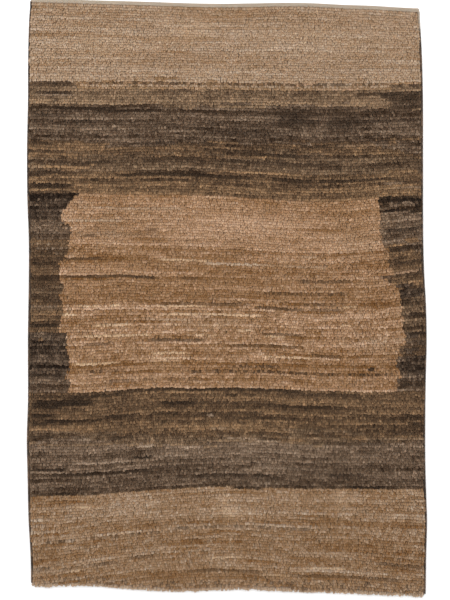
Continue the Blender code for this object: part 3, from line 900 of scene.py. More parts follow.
    def abrash(self, rng: np.random.Generator, shape: tuple[int, int]) -> np.ndarray:
        """The shift of each knot's yarn share, from dye lots, streaks and carded wool.

        Args:
            rng: The source of random numbers.
            shape: Rows and columns of knots.

        Returns:
            A shift for every knot, around 0.
        """
        rows = blurred(rng.standard_normal((shape[0], 1)).repeat(3, axis=1), 0.0, self.row_blend)[:, :1]
        long_run = blurred(rng.standard_normal(shape), self.long_run, 0.0)
        middle_run = blurred(rng.standard_normal(shape), self.middle_run, 0.0)
        short_run = blurred(rng.standard_normal(shape), self.short_run, 0.0)
        thread = blurred(rng.standard_normal(shape), self.thread_run, 0.0)
        pale_threads = np.clip(thread - self.thread_pale_from, 0.0, None)
        dark_threads = np.clip(-thread - self.thread_dark_from, 0.0, None)
        knots = rng.standard_normal(shape)
        specks = self.speck_rise * ((rng.random(shape) < self.speck_chance) - self.speck_chance)
        return specks + (
            self.row_change * rows
            + self.long_streaks * long_run
            + self.middle_streaks * middle_run
            + self.short_streaks * short_run
            + self.threads * (pale_threads - dark_threads)
            + self.heather * knots
        )

    def blend(self, passages: tuple[Passage, ...], py: np.ndarray, shift: np.ndarray) -> np.ndarray:
        """Colours the knots of one zone.

        Args:
            passages: The zone's passages from the far end down.
            py: Photo y of the knots.
            shift: The shift of each knot's share.

        Returns:
            sRGB shares, one row a knot.
        """
        index = np.searchsorted([p.down_to for p in passages], py)
        index = np.clip(index, 0, len(passages) - 1)
        dark = np.stack([p.dark.srgb() for p in passages])[index]
        pale = np.stack([p.pale.srgb() for p in passages])[index]
        grain = np.array([p.grain for p in passages])[index]
        share = np.array([p.share for p in passages])[index] + grain * shift
        share = np.clip(share, *self.share_limits)[:, None]
        return dark + (pale - dark) * share

    def lay_streak(self, rng: np.random.Generator, warp: Warp, px: np.ndarray, streak: Streak) -> None:
        """Knots one streak over the passages.

        Args:
            rng: The source of random numbers.
            warp: The laid grid of knots.
            px: Photo x of every knot.
            streak: The streak.
        """
        row = warp.row_at((streak.start + streak.stop) / 2.0, streak.y)
        first = max(0, int(round(row - (streak.rows - 1) / 2.0)))
        for offset in range(max(1, int(math.ceil(streak.rows)))):
            r = first + offset
            if r >= warp.shape[0]:
                continue
            part = 1.0 if offset + 1 <= streak.rows else streak.rows - offset
            ragged = rng.uniform(-self.ragged_ends, self.ragged_ends, 2) if streak.rows > 1 else np.zeros(2)
            start, stop = streak.start + ragged[0], streak.stop + ragged[1]
            taper = min(self.taper, self.taper_share * (stop - start))
            inside = np.minimum(px[r] - start, stop - px[r]) / taper
            within = np.clip(inside + self.taper_start, 0.0, 1.0)
            strength = streak.strength * part * rng.uniform(*self.streak_spread, warp.shape[1])
            if streak.every > 1:
                chosen = rng.random(warp.shape[1]) < self.dot_share / streak.every
                strength = np.where(chosen, strength, self.between_dots * strength)
            weight = (within * np.clip(strength, 0.0, 1.0))[:, None]
            self.srgb[r] = self.srgb[r] * (1.0 - weight) + streak.yarn.srgb() * weight


class NodeBuilder:
    """What the builders of materials and of Geometry Nodes trees share."""

    tree: bpy.types.NodeTree

    def node(
        self, kind: str, inputs: dict[int | str, object] | None = None, **settings: object
    ) -> bpy.types.Node:
        """Adds a node.

        Args:
            kind: The node's type.
            inputs: Its inputs by name or index, each a socket or a value.
            **settings: Its properties.

        Returns:
            The node.
        """
        made = self.tree.nodes.new(kind)
        for key, value in settings.items():
            setattr(made, key, value)
        for key, value in (inputs or {}).items():
            if isinstance(value, bpy.types.NodeSocket):
                self.tree.links.new(value, made.inputs[key])
            else:
                made.inputs[key].default_value = value
        return made

    def math(self, operation: str, *values: object) -> bpy.types.NodeSocket:
        """Adds a Math node on sockets and numbers, and gives its output."""
        return self.node("ShaderNodeMath", dict(enumerate(values)), operation=operation).outputs[0]

    def vector(self, operation: str, *values: object) -> bpy.types.NodeSocket:
        """Adds a Vector Math node on sockets and vectors, and gives its output."""
        return self.node("ShaderNodeVectorMath", dict(enumerate(values)), operation=operation).outputs[0]

    def scaled(self, vector: bpy.types.NodeSocket, factor: bpy.types.NodeSocket) -> bpy.types.NodeSocket:
        """Multiplies a vector or a colour by a number."""
        return self.node("ShaderNodeVectorMath", {0: vector, "Scale": factor}, operation="SCALE").outputs[0]

    def length(self, vector: bpy.types.NodeSocket) -> bpy.types.NodeSocket:
        """Measures a vector."""
        return self.node("ShaderNodeVectorMath", {0: vector}, operation="LENGTH").outputs["Value"]


class Shader(NodeBuilder):
    """A builder for one material, with what all the wools have in common."""

    specular: float = 0.05
    scatter_weight: float = 0.35
    scatter_radius: tuple[float, float, float] = (1.0, 0.75, 0.55)
    scatter_scale: float = 0.0035
    sheen_roughness: float = 0.6

    def __init__(self, name: str) -> None:
        """Starts a material with only its Principled shader.

        Args:
            name: The material's name.
        """
        self.material = bpy.data.materials.new(name)
        self.material.use_nodes = True
        self.tree = self.material.node_tree
        self.surface = self.tree.nodes["Principled BSDF"]

    def attribute(self, name: str, output: str) -> bpy.types.NodeSocket:
        """Reads one of the mesh's attributes, at one of the node's outputs."""
        return self.node("ShaderNodeAttribute", attribute_name=name).outputs[output]

    def remap(self, value: bpy.types.NodeSocket, low: float, high: float) -> bpy.types.NodeSocket:
        """Takes a value from 0 to 1 to a value from low to high."""
        return self.math("ADD", self.math("MULTIPLY", value, high - low), low)

    def noise(self, place: bpy.types.NodeSocket, detail: float) -> bpy.types.NodeSocket:
        """Noise from 0 to 1 over a place, with one grain a unit."""
        inputs = {"Vector": place, "Scale": 1.0, "Detail": detail}
        return self.node("ShaderNodeTexNoise", inputs).outputs["Fac"]

    def fibres(self, scale: tuple[float, float, float], detail: float) -> bpy.types.NodeSocket:
        """Noise over the piece's own space, drawn out along the axis with the smallest scale.

        Args:
            scale: Fibres a metre on each axis.
            detail: The noise's detail.

        Returns:
            The noise, from 0 to 1.
        """
        place = self.node("ShaderNodeTexCoord").outputs["Object"]
        inputs = {"Vector": place, "Scale": tuple(1.0 / s for s in scale)}
        mapping = self.node("ShaderNodeMapping", inputs, vector_type="TEXTURE")
        return self.noise(mapping.outputs["Vector"], detail)

    def bump(self, height: bpy.types.NodeSocket, distance: float, strength: float) -> None:
        """Feeds a height to the surface's normal.

        Args:
            height: The height, from 0 to 1.
            distance: The real height of 1, in metres.
            strength: The strength of the bump.
        """
        inputs = {"Distance": distance, "Strength": strength, "Height": height}
        made = self.node("ShaderNodeBump", inputs)
        self.tree.links.new(made.outputs["Normal"], self.surface.inputs["Normal"])

    def wool(self, colour: bpy.types.NodeSocket, roughness: float, sheen: float) -> bpy.types.Material:
        """Finishes the material as matt wool.

        Args:
            colour: The colour's socket.
            roughness: The surface's roughness.
            sheen: The weight of its soft sheen.

        Returns:
            The material.
        """
        self.tree.links.new(colour, self.surface.inputs["Base Color"])
        values = {
            "Roughness": roughness,
            "Specular IOR Level": self.specular,
            "Subsurface Weight": self.scatter_weight,
            "Subsurface Radius": self.scatter_radius,
            "Subsurface Scale": self.scatter_scale,
            "Sheen Weight": sheen,
            "Sheen Roughness": self.sheen_roughness,
        }
        for name, value in values.items():
            self.surface.inputs[name].default_value = value
        return self.material


@dataclass(frozen=True)
class PileWool:
    """Cut pile: the knot's own yarn with painted shade darkening it towards its root, and fine fibres along
    the tuft.
    """

    root_painted_shade: float = 0.58
    fibre_shade: float = 0.42
    around: float = 15.0
    along: float = 2.0
    twist: float = 2.5
    cell_step: float = 17.3
    detail: float = 4.0
    bump_height: float = 0.0007
    bump_strength: float = 1.0
    roughness: float = 0.95
    sheen: float = 0.02

    def material(self) -> bpy.types.Material:
        """Makes the material.

        Returns:
            The material.
        """
        shader = Shader("pile_wool")
        fibre = self.strands(shader)
        # Painted shade: the colour darkens from the tuft's tip to its root, where neighbouring tufts shade
        # it.
        painted_root_shade = shader.remap(shader.attribute("rise", "Fac"), self.root_painted_shade, 1.0)
        strand = shader.remap(fibre, 1.0 - self.fibre_shade, 1.0 + self.fibre_shade)
        yarn = shader.attribute("yarn", "Color")
        colour = shader.scaled(yarn, shader.math("MULTIPLY", painted_root_shade, strand))
        shader.bump(fibre, self.bump_height, self.bump_strength)
        return shader.wool(colour, self.roughness, self.sheen)

    def strands(self, shader: Shader) -> bpy.types.NodeSocket:
        """Noise that runs along every tuft from its root to its tip, and differs round it.

        The pile's own UV map gives every tuft a square cell, with the tip in its middle and the root at
        its rim, so a direction from the middle is one strand.

        Args:
            shader: The material's builder.

        Returns:
            The noise, from 0 to 1.
        """
        chart = shader.node("ShaderNodeUVMap", uv_map="OFBake").outputs["UV"]
        cell = shader.attribute("cell", "Vector")
        cells = shader.node("ShaderNodeSeparateXYZ", {0: cell}).outputs[2]
        middle = shader.vector("ADD", cell, (MIDDLE, MIDDLE, 0.0))
        away = shader.vector("SUBTRACT", shader.scaled(chart, cells), middle)
        flat = shader.vector("MULTIPLY", away, (1.0, 1.0, 0.0))
        turn = shader.math("MULTIPLY", shader.length(flat), self.twist)
        inputs = {"Vector": shader.vector("NORMALIZE", flat), "Angle": turn}
        twisted = shader.node("ShaderNodeVectorRotate", inputs, rotation_type="Z_AXIS").outputs[0]
        round_tuft = shader.vector("MULTIPLY", twisted, (self.around,) * 3)
        along = shader.vector("MULTIPLY", flat, (self.along,) * 3)
        own = shader.vector("MULTIPLY", cell, (self.cell_step, self.cell_step, 0.0))
        return shader.noise(shader.vector("ADD", shader.vector("ADD", round_tuft, along), own), self.detail)


@dataclass(frozen=True)
class GroundWool:
    """The woven ground: two small nodes a knot on its underside, between lines of weft, with painted shade
    darkening the yarn between the nodes.
    """

    groove_painted_shade: float = 0.45
    node_power: float = 0.6
    fibre_scale: float = 1300.0
    fibre_detail: float = 3.0
    fibre_shade: float = 0.2
    fibre_relief: float = 0.3
    bump_height: float = 0.0012
    bump_strength: float = 0.9
    roughness: float = 0.95
    sheen: float = 0.1

    def material(self) -> bpy.types.Material:
        """Makes the material.

        Returns:
            The material.
        """
        shader = Shader("ground_wool")
        chart = shader.node("ShaderNodeUVMap", uv_map="chart").outputs["UV"]
        split = shader.node("ShaderNodeSeparateXYZ", {0: chart})
        across, along = (
            shader.math("ABSOLUTE", shader.math("SINE", shader.math("MULTIPLY", place, turn)))
            for place, turn in zip(split.outputs, (math.tau, math.pi))
        )
        node = shader.math("POWER", shader.math("MULTIPLY", across, along), self.node_power)
        fibre = shader.fibres((self.fibre_scale,) * 3, self.fibre_detail)
        strand = shader.remap(fibre, 1.0 - self.fibre_shade, 1.0 + self.fibre_shade)
        # Painted shade: the yarn darkens between the nodes, where the weave dips, times the fibres' own
        # grain.
        shade = shader.math("MULTIPLY", shader.remap(node, self.groove_painted_shade, 1.0), strand)
        relief = shader.math("ADD", node, shader.math("MULTIPLY", fibre, self.fibre_relief))
        shader.bump(relief, self.bump_height, self.bump_strength)
        colour = shader.scaled(shader.attribute("yarn", "Color"), shade)
        return shader.wool(colour, self.roughness, self.sheen)


@dataclass(frozen=True)
class SpunWool:
    """Spun yarn: its own colour, with the fibres drawn out along it."""

    name: str
    fibre_scale: tuple[float, float, float]
    fibre_detail: float
    fibre_shade: float
    bump_height: float
    bump_strength: float
    roughness: float = 0.9
    sheen: float = 0.1

    def material(self) -> bpy.types.Material:
        """Makes the material.

        Returns:
            The material.
        """
        shader = Shader(self.name)
        fibre = shader.fibres(self.fibre_scale, self.fibre_detail)
        strand = shader.remap(fibre, 1.0 - self.fibre_shade, 1.0 + self.fibre_shade)
        shader.bump(fibre, self.bump_height, self.bump_strength)
        colour = shader.scaled(shader.attribute("yarn", "Color"), strand)
        return shader.wool(colour, self.roughness, self.sheen)


# The plied yarn overcast round the side cords, and the undyed weft of the flat-woven end.
BINDING_WOOL = SpunWool(
    "binding_wool", fibre_scale=(500.0, 2600.0, 900.0), fibre_detail=3.0, fibre_shade=0.3,
    bump_height=0.0005, bump_strength=0.6,
)
FLATWEAVE_WOOL = SpunWool(
    "end_strip_wool", fibre_scale=(420.0, 2400.0, 2400.0), fibre_detail=4.0, fibre_shade=0.14,
    bump_height=0.0004, bump_strength=0.5,
)


class NodeTree(NodeBuilder):
    """A builder for one Geometry Nodes tree with named inputs."""

    def __init__(self, name: str) -> None:
        """Starts a tree that takes and gives a geometry.

        Args:
            name: The tree's name.
        """
        self.tree = bpy.data.node_groups.new(name, "GeometryNodeTree")
        self.tree.is_modifier = True
        self.tree.interface.new_socket("Geometry", in_out="INPUT", socket_type="NodeSocketGeometry")
        self.tree.interface.new_socket("Geometry", in_out="OUTPUT", socket_type="NodeSocketGeometry")
        self.source = self.tree.nodes.new("NodeGroupInput")
        self.target = self.tree.nodes.new("NodeGroupOutput")
        self.identifiers: dict[str, str] = {}

    def input(self, name: str, kind: str = "NodeSocketFloat") -> bpy.types.NodeSocket:
        """Adds a named input.

        Args:
            name: The input's name.
            kind: Its socket's type.

        Returns:
            The socket inside the tree.
        """
        socket = self.tree.interface.new_socket(name, in_out="INPUT", socket_type=kind)
        self.identifiers[name] = socket.identifier
        return self.source.outputs[name]

    def named(self, name: str, data_type: str) -> bpy.types.NodeSocket:
        """Reads a named attribute."""
        made = self.node("GeometryNodeInputNamedAttribute", {"Name": name}, data_type=data_type)
        return made.outputs["Attribute"]

    def store(
        self, geometry: bpy.types.NodeSocket, name: str, value: bpy.types.NodeSocket,
        data_type: str, domain: str,
    ) -> bpy.types.NodeSocket:
        """Stores a named attribute.

        Args:
            geometry: The geometry's socket.
            name: The attribute's name.
            value: Its value's socket.
            data_type: Its type.
            domain: Its domain.

        Returns:
            The geometry with the attribute.
        """
        made = self.node(
            "GeometryNodeStoreNamedAttribute",
            {"Geometry": geometry, "Name": name, "Value": value},
            data_type=data_type,
            domain=domain,
        )
        return made.outputs["Geometry"]

    def finish(self, geometry: bpy.types.NodeSocket, material: bpy.types.NodeSocket) -> None:
        """Ends the tree in a Set Material node.

        Args:
            geometry: The realized geometry.
            material: The material's input.
        """
        painted = self.node("GeometryNodeSetMaterial", {"Geometry": geometry, "Material": material})
        self.tree.links.new(painted.outputs["Geometry"], self.target.inputs["Geometry"])

    def apply(self, guide: bpy.types.Object, values: dict[str, object], name: str) -> bpy.types.Object:
        """Runs the tree on a guide and turns the result into a plain mesh.

        Args:
            guide: The object that carries the points or the path; it is removed.
            values: Values for the named inputs.
            name: The name of the finished piece.

        Returns:
            The finished piece, at the origin.
        """
        modifier = guide.modifiers.new("build", "NODES")
        modifier.node_group = self.tree
        for key, value in values.items():
            modifier[self.identifiers[key]] = value
        bpy.context.view_layer.update()
        evaluated = guide.evaluated_get(bpy.context.evaluated_depsgraph_get())
        mesh = bpy.data.meshes.new_from_object(evaluated)
        guide.modifiers.remove(modifier)
        bpy.data.objects.remove(guide, do_unlink=True)
        mesh.name = name
        piece = bpy.data.objects.new(name, mesh)
        bpy.context.scene.collection.objects.link(piece)
        return piece


def guide_mesh(
    name: str, points: np.ndarray, edges: list[tuple[int, int]] | None = None
) -> bpy.types.Object:
    """Makes an object of bare points, or of a path, for a node tree to build on.

    Args:
        name: The object's name.
        points: One row of x, y, z a point.
        edges: Pairs of points, or None for bare points.

    Returns:
        The object.
    """
    mesh = bpy.data.meshes.new(name)
    mesh.from_pydata(points.tolist(), edges or [], [])
    guide = bpy.data.objects.new(name, mesh)
    bpy.context.scene.collection.objects.link(guide)
    return guide


def set_attribute(mesh: bpy.types.Mesh, name: str, kind: str, values: np.ndarray) -> None:
    """Gives each point of a mesh a value.

    Args:
        mesh: The mesh.
        name: The attribute's name.
        kind: The attribute's type.
        values: One row a point.
    """
    fields = {"FLOAT": "value", "QUATERNION": "value", "FLOAT_VECTOR": "vector", "FLOAT_COLOR": "color"}
    attribute = mesh.attributes.new(name, kind, "POINT")
    attribute.data.foreach_set(fields[kind], np.ascontiguousarray(values, dtype=np.float32).ravel())


def with_alpha(colour: np.ndarray) -> np.ndarray:
    """Adds a full alpha to rows of colour."""
    return np.concatenate([colour, np.ones(colour.shape[:-1] + (1,))], axis=-1)


@dataclass
class KnottedPile:
    """The cut pile: one leaning tuft a knot, in one piece for each zone of the design.

    Every tuft leans to the near end so that its tip comes up to the top of the CAD node. It leans less at
    the far end, further at the near end and outward at the two sides. Drifts are changes that
    neighbouring tufts share, with their reach in knots and rows.
    """

    sides: int = 5
    root_radius: float = 0.0029
    tip_radius: float = 0.0031
    length: float = 0.0138
    dome: float = 0.0019
    ragged: float = 0.0011
    ragged_scale: float = 900.0
    root_ring: float = 0.47
    tip_ring: float = 0.21
    ground_top: float = 0.0031
    lean: float = math.radians(50.0)
    lean_cosines: tuple[float, float] = (0.25, 0.9)
    lean_spread: float = math.radians(2.0)
    lean_drift: float = math.radians(2.0)
    lean_drift_reach: tuple[float, float] = (5.0, 1.0)
    upright_share: float = 0.45
    end_lean: float = math.radians(5.0)
    end_lean_rows: float = 1.0
    swing_spread: float = math.radians(4.0)
    swing_drift: float = math.radians(4.0)
    swing_drift_reach: tuple[float, float] = (4.0, 4.0)
    outward: float = math.radians(5.0)
    outward_knots: float = 1.2
    spin_spread: float = math.radians(20.0)
    seen_share: float = 0.62
    far_fade: float = 0.0060
    root_jitter: float = 0.00045
    broad: float = 1.16
    thin: float = 0.66
    size_spread: float = 0.08
    lift_limits: tuple[float, float] = (0.6, 1.1)
    lift_spread: float = 0.045
    seed: int = 7
    pieces: list[bpy.types.Object] = field(default_factory=list)

    def build(self, warp: Warp, design: Design, solid: Solid) -> None:
        """Builds every zone's tufts.

        Args:
            warp: The laid grid of knots.
            design: The charted design.
            solid: The pile field's CAD node.
        """
        rng = np.random.default_rng(self.seed)
        kept = warp.kept
        heights = solid.top(warp.x, warp.y, PILE_RIM_HEIGHT)
        laid_back = 1.0 - np.exp((warp.y - solid.wall(1, 1.0, warp.x[0])[None, :]) / self.far_fade)
        roots = warp.y + self.seen_share * self.length * math.sin(self.lean) * laid_back
        lean = self.leans(rng, warp, laid_back, heights)
        turns = self.turns(rng, warp, lean)
        scale = self.scales(rng, lean, heights)
        jitter = rng.normal(0.0, self.root_jitter, warp.shape + (2,))
        colour = with_alpha(linear_light(design.srgb * design.gain))
        tree = self.tree()
        material = PileWool().material()
        for zone in Zone:
            inside = (design.zone == zone.name) & kept
            x, y = warp.x[inside] + jitter[inside, 0], roots[inside] + jitter[inside, 1]
            points = np.stack([x, y, np.full(len(x), self.ground_top)], axis=1)
            guide = guide_mesh(zone.value + "_knots", points)
            cells = math.ceil(math.sqrt(len(points)))
            index = np.arange(len(points))
            cell = np.stack([index % cells, index // cells, np.full(len(points), cells)], axis=1)
            set_attribute(guide.data, "yarn", "FLOAT_COLOR", colour[inside])
            set_attribute(guide.data, "turn", "QUATERNION", turns[inside])
            set_attribute(guide.data, "stretch", "FLOAT_VECTOR", scale[inside])
            set_attribute(guide.data, "cell", "FLOAT_VECTOR", cell)
            values = {
                "Sides": self.sides, "Root Radius": self.root_radius, "Tip Radius": self.tip_radius,
                "Tuft Length": self.length, "Dome": self.dome, "Ragged": self.ragged,
                "Ragged Scale": self.ragged_scale, "Material": material,
            }
            self.pieces.append(tree.apply(guide, values, zone.value))

    def leans(
        self, rng: np.random.Generator, warp: Warp, laid_back: np.ndarray, heights: np.ndarray
    ) -> np.ndarray:
        """How far every tuft leans to the near end: further where the field's top is low.

        Args:
            rng: The source of random numbers.
            warp: The laid grid of knots.
            laid_back: 0 at the far end, where the pile stands up, and 1 past it.
            heights: The top of the field over every knot.

        Returns:
            An angle from upright for every knot, in radians.
        """
        rise = heights - self.ground_top - self.tip_radius * math.sin(self.lean)
        lean = np.arccos(np.clip(rise / self.length, *self.lean_cosines))
        lean = lean * (self.upright_share + (1.0 - self.upright_share) * laid_back)
        lean = lean + rng.normal(0.0, self.lean_spread, warp.shape)
        lean += self.lean_drift * blurred(rng.standard_normal(warp.shape), *self.lean_drift_reach)
        to_end = warp.last[None, :] - np.arange(warp.shape[0])[:, None]
        return lean + self.end_lean * np.exp(-np.clip(to_end, 0, None) / self.end_lean_rows)

    def turns(self, rng: np.random.Generator, warp: Warp, lean: np.ndarray) -> np.ndarray:
        """The turn of every tuft: it leans to the near end, and outward beside the edges.

        Args:
            rng: The source of random numbers.
            warp: The laid grid of knots.
            lean: How far every tuft leans.

        Returns:
            Quaternions, w first, for every knot.
        """
        shape = warp.shape
        swing = rng.normal(0.0, self.swing_spread, shape)
        swing += self.swing_drift * blurred(rng.standard_normal(shape), *self.swing_drift_reach)
        half = (shape[1] - 1) / 2.0
        from_middle = np.arange(shape[1]) - half
        outward = self.outward * np.exp((np.abs(from_middle) - half) / self.outward_knots)
        swing += (np.sign(from_middle) * outward)[None, :]
        spin = math.pi * rng.integers(0, 2, shape) + rng.normal(0.0, self.spin_spread, shape)
        # The swing about z after the lean about x, and then the spin about the tuft itself.
        cos_swing, sin_swing = np.cos(swing / 2.0), np.sin(swing / 2.0)
        cos_lean, sin_lean = np.cos(lean / 2.0), np.sin(lean / 2.0)
        cos_spin, sin_spin = np.cos(spin / 2.0), np.sin(spin / 2.0)
        w, x = cos_swing * cos_lean, cos_swing * sin_lean
        y, z = sin_swing * sin_lean, sin_swing * cos_lean
        return np.stack(
            [w * cos_spin - z * sin_spin, x * cos_spin + y * sin_spin,
             y * cos_spin - x * sin_spin, z * cos_spin + w * sin_spin],
            axis=-1,
        )

    def scales(self, rng: np.random.Generator, lean: np.ndarray, heights: np.ndarray) -> np.ndarray:
        """The size of every tuft, so that its tip comes up to the field's top.

        Args:
            rng: The source of random numbers.
            lean: How far every tuft leans.
            heights: The top of the field over every knot.

        Returns:
            Three scales for every knot.
        """
        reach = self.length * np.cos(lean) + self.tip_radius * np.sin(lean)
        lift = np.clip((heights - self.ground_top) / reach, *self.lift_limits)
        lift *= 1.0 + self.lift_spread * rng.standard_normal(lean.shape)
        wide = self.broad * (1.0 + self.size_spread * rng.standard_normal(lean.shape))
        deep = self.thin * (1.0 + self.size_spread * rng.standard_normal(lean.shape))
        return np.stack([wide, deep, lift], axis=-1)

    def tree(self) -> NodeTree:
        """The node tree that puts a tuft on every knot.

        Returns:
            The tree.
        """
        tree = NodeTree("knot_tufts")
        sides = tree.input("Sides", "NodeSocketInt")
        names = ("Root Radius", "Tip Radius", "Tuft Length", "Dome", "Ragged", "Ragged Scale")
        root, tip, length, dome, ragged, ragged_scale = (tree.input(name) for name in names)
        material = tree.input("Material", "NodeSocketMaterial")
        cone = tree.node(
            "GeometryNodeMeshCone",
            {"Vertices": sides, "Side Segments": 1, "Fill Segments": 1, "Radius Top": tip,
             "Radius Bottom": root, "Depth": length},
            fill_type="TRIANGLE_FAN",
        )
        open_root = tree.node(
            "GeometryNodeDeleteGeometry",
            {"Geometry": cone.outputs["Mesh"], "Selection": cone.outputs["Bottom"]},
            domain="FACE", mode="ALL",
        )
        place = tree.node("GeometryNodeInputPosition").outputs[0]
        split = tree.node("ShaderNodeSeparateXYZ", {0: place})
        flat = tree.node("ShaderNodeCombineXYZ", {0: split.outputs[0], 1: split.outputs[1]})
        radius = tree.length(flat.outputs[0])
        rise = tree.math("DIVIDE", split.outputs[2], length)
        stored = tree.store(open_root.outputs[0], "rise", rise, "FLOAT", "POINT")
        ring = tree.math("MULTIPLY_ADD", rise, self.tip_ring - self.root_ring, self.root_ring)
        spread = tree.scaled(tree.vector("NORMALIZE", flat.outputs[0]), ring)
        stored = tree.store(stored, "spot", spread, "FLOAT_VECTOR", "POINT")
        crown = tree.math("SUBTRACT", 1.0, tree.math("DIVIDE", radius, tip))
        upper = tree.node(
            "FunctionNodeCompare", {0: rise, 1: MIDDLE}, data_type="FLOAT", operation="GREATER_THAN"
        )
        offset = tree.node("ShaderNodeCombineXYZ", {2: tree.math("MULTIPLY", crown, dome)})
        domed = tree.node(
            "GeometryNodeSetPosition",
            {"Geometry": stored, "Selection": upper.outputs[0], "Offset": offset.outputs[0]},
        )
        soft = tree.node("GeometryNodeSetShadeSmooth", {"Geometry": domed.outputs[0]})
        placed = tree.node(
            "GeometryNodeInstanceOnPoints",
            {"Points": tree.source.outputs["Geometry"], "Instance": soft.outputs[0],
             "Rotation": tree.named("turn", "QUATERNION"), "Scale": tree.named("stretch", "FLOAT_VECTOR")},
        )
        real = tree.node("GeometryNodeRealizeInstances", {0: placed.outputs[0]})
        noise = tree.node("ShaderNodeTexNoise", {"Vector": place, "Scale": ragged_scale, "Detail": 0.0})
        centred = tree.vector("SUBTRACT", noise.outputs["Color"], (MIDDLE,) * 3)
        frayed = tree.scaled(centred, tree.math("MULTIPLY", ragged, tree.named("rise", "FLOAT")))
        real = tree.node("GeometryNodeSetPosition", {"Geometry": real.outputs[0], "Offset": frayed})
        cell = tree.node("ShaderNodeSeparateXYZ", {0: tree.named("cell", "FLOAT_VECTOR")})
        spot = tree.node("ShaderNodeSeparateXYZ", {0: tree.named("spot", "FLOAT_VECTOR")})
        chart = []
        for axis in range(2):
            middle = tree.math("ADD", tree.math("ADD", cell.outputs[axis], MIDDLE), spot.outputs[axis])
            chart.append(tree.math("DIVIDE", middle, cell.outputs[2]))
        uv = tree.node("ShaderNodeCombineXYZ", {0: chart[0], 1: chart[1]})
        mapped = tree.store(real.outputs[0], "OFBake", uv.outputs[0], "FLOAT2", "CORNER")
        tree.finish(mapped, material)
        return tree

    def dress(self) -> None:
        """Attaches every zone's piece to the body that it rides on, and hides the pile field's CAD node."""
        for index, piece in enumerate(self.pieces):
            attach(piece, BODY)
            if index == 0:
                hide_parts("pile_field")


def closed_slab(name: str, top: np.ndarray, bottom: np.ndarray) -> bpy.types.Mesh:
    """A closed sheet between two grids of points that share their rim in plan.

    Args:
        name: The mesh's name.
        top: Rows by columns of x, y, z, rows from far to near, columns from left to right.
        bottom: The same for the underside.

    Returns:
        The mesh; the top's points come first, and then the underside's, row by row.
    """
    rows, columns = top.shape[:2]
    count = rows * columns
    index = np.arange(count).reshape(rows, columns)
    a, b, c, d = index[:-1, :-1], index[:-1, 1:], index[1:, 1:], index[1:, :-1]
    upper = np.stack([a, d, c, b], axis=-1).reshape(-1, 4)
    lower = np.stack([a, b, c, d], axis=-1).reshape(-1, 4) + count
    rim = np.concatenate([index[0, :-1], index[:-1, -1], index[-1, :0:-1], index[:0:-1, 0]])
    after = np.roll(rim, -1)
    wall = np.stack([rim, after, after + count, rim + count], axis=-1)
    faces = np.concatenate([upper, lower, wall])
    mesh = bpy.data.meshes.new(name)
    mesh.from_pydata(np.concatenate([top.reshape(-1, 3), bottom.reshape(-1, 3)]).tolist(), [], faces.tolist())
    mesh.shade_smooth()
    return mesh


def add_piece(mesh: bpy.types.Mesh, material: bpy.types.Material) -> bpy.types.Object:
    """Puts a finished mesh in the scene.

    Args:
        mesh: The mesh, in its place.
        material: Its material.

    Returns:
        The new object.
    """
    mesh.materials.append(material)
    piece = bpy.data.objects.new(mesh.name, mesh)
    bpy.context.scene.collection.objects.link(piece)
    return piece


@dataclass
class GroundWeave:
    """The woven ground that the knots stand in, seen between the tufts and on the underside."""

    underside: float = 0.0002
    top: float = 0.0058
    rim_top: float = 0.0026
    near_inset: float = 0.0036
    side_tuck: float = 0.0028
    far_tuck: float = 0.0010
    far_top: float = 0.0014
    near_rim: float = 0.009
    least_step: float = 0.0004
    every: int = 2
    flat_size: tuple[float, float] = (1.0, 1.5)
    piece: bpy.types.Object | None = None

    def build(self, warp: Warp, design: Design, solid: Solid) -> None:
        """Builds the sheet with a point at every second knot of each row.

        Args:
            warp: The laid grid of knots.
            design: The charted design.
            solid: The pile field's CAD node.
        """
        near_end = solid.wall(1, -1.0, warp.x[0])
        far_end = solid.wall(1, 1.0, warp.x[0])
        x = warp.x.copy()
        y = np.clip(warp.y, near_end[None, :] + self.near_inset, far_end[None, :])
        y[warp.last, np.arange(warp.columns)] = near_end + self.near_inset
        y[0] = far_end + self.far_tuck
        x[:, 0] = solid.wall(0, -1.0, y[:, 0]) - self.side_tuck
        x[:, -1] = solid.wall(0, 1.0, y[:, -1]) + self.side_tuck
        rows = np.flatnonzero(self.rows_used(y))
        columns = np.arange(0, warp.columns, self.every)
        used = np.ix_(rows, columns)
        x, y, near_end = x[used], y[used], near_end[columns]
        height = np.full(x.shape, self.top)
        height[:, :1], height[:, -1:], height[:1] = self.rim_top, self.rim_top, self.far_top
        height[y < near_end[None, :] + self.near_rim] = self.rim_top
        top = np.stack([x, y, height], axis=-1)
        bottom = np.stack([x, y, np.full(x.shape, self.underside)], axis=-1)
        mesh = closed_slab("ground_weave", top, bottom)
        colour = with_alpha(linear_light(design.srgb * design.gain)[used]).reshape(-1, 4)
        set_attribute(mesh, "yarn", "FLOAT_COLOR", np.concatenate([colour, colour]))
        chart_y, chart_x = np.meshgrid(rows, columns, indexing="ij")
        chart = np.stack([chart_x, chart_y], axis=-1).reshape(-1, 2).astype(float)
        chart = np.concatenate([chart, chart])
        layer = mesh.uv_layers.new(name="chart")
        corners = np.zeros(len(mesh.loops), dtype=int)
        mesh.loops.foreach_get("vertex_index", corners)
        layer.data.foreach_set("uv", chart[corners].ravel())
        self.piece = add_piece(mesh, GroundWool().material())

    def rows_used(self, y: np.ndarray) -> np.ndarray:
        """Tells which rows still lie apart from the row before, and so on the rug.

        Args:
            y: World y of every knot, drawn back to the rug's ends.

        Returns:
            True for every row that is used.
        """
        apart = np.abs(np.diff(y, axis=0)).max(axis=1) > self.least_step
        return np.concatenate([[True], apart])

    def dress(self, beside: list[bpy.types.Object]) -> None:
        """Args:
            beside: The pile, the end strip and the bindings. Not used.
        """
        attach(self.piece, BODY)
        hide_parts("pile_field")


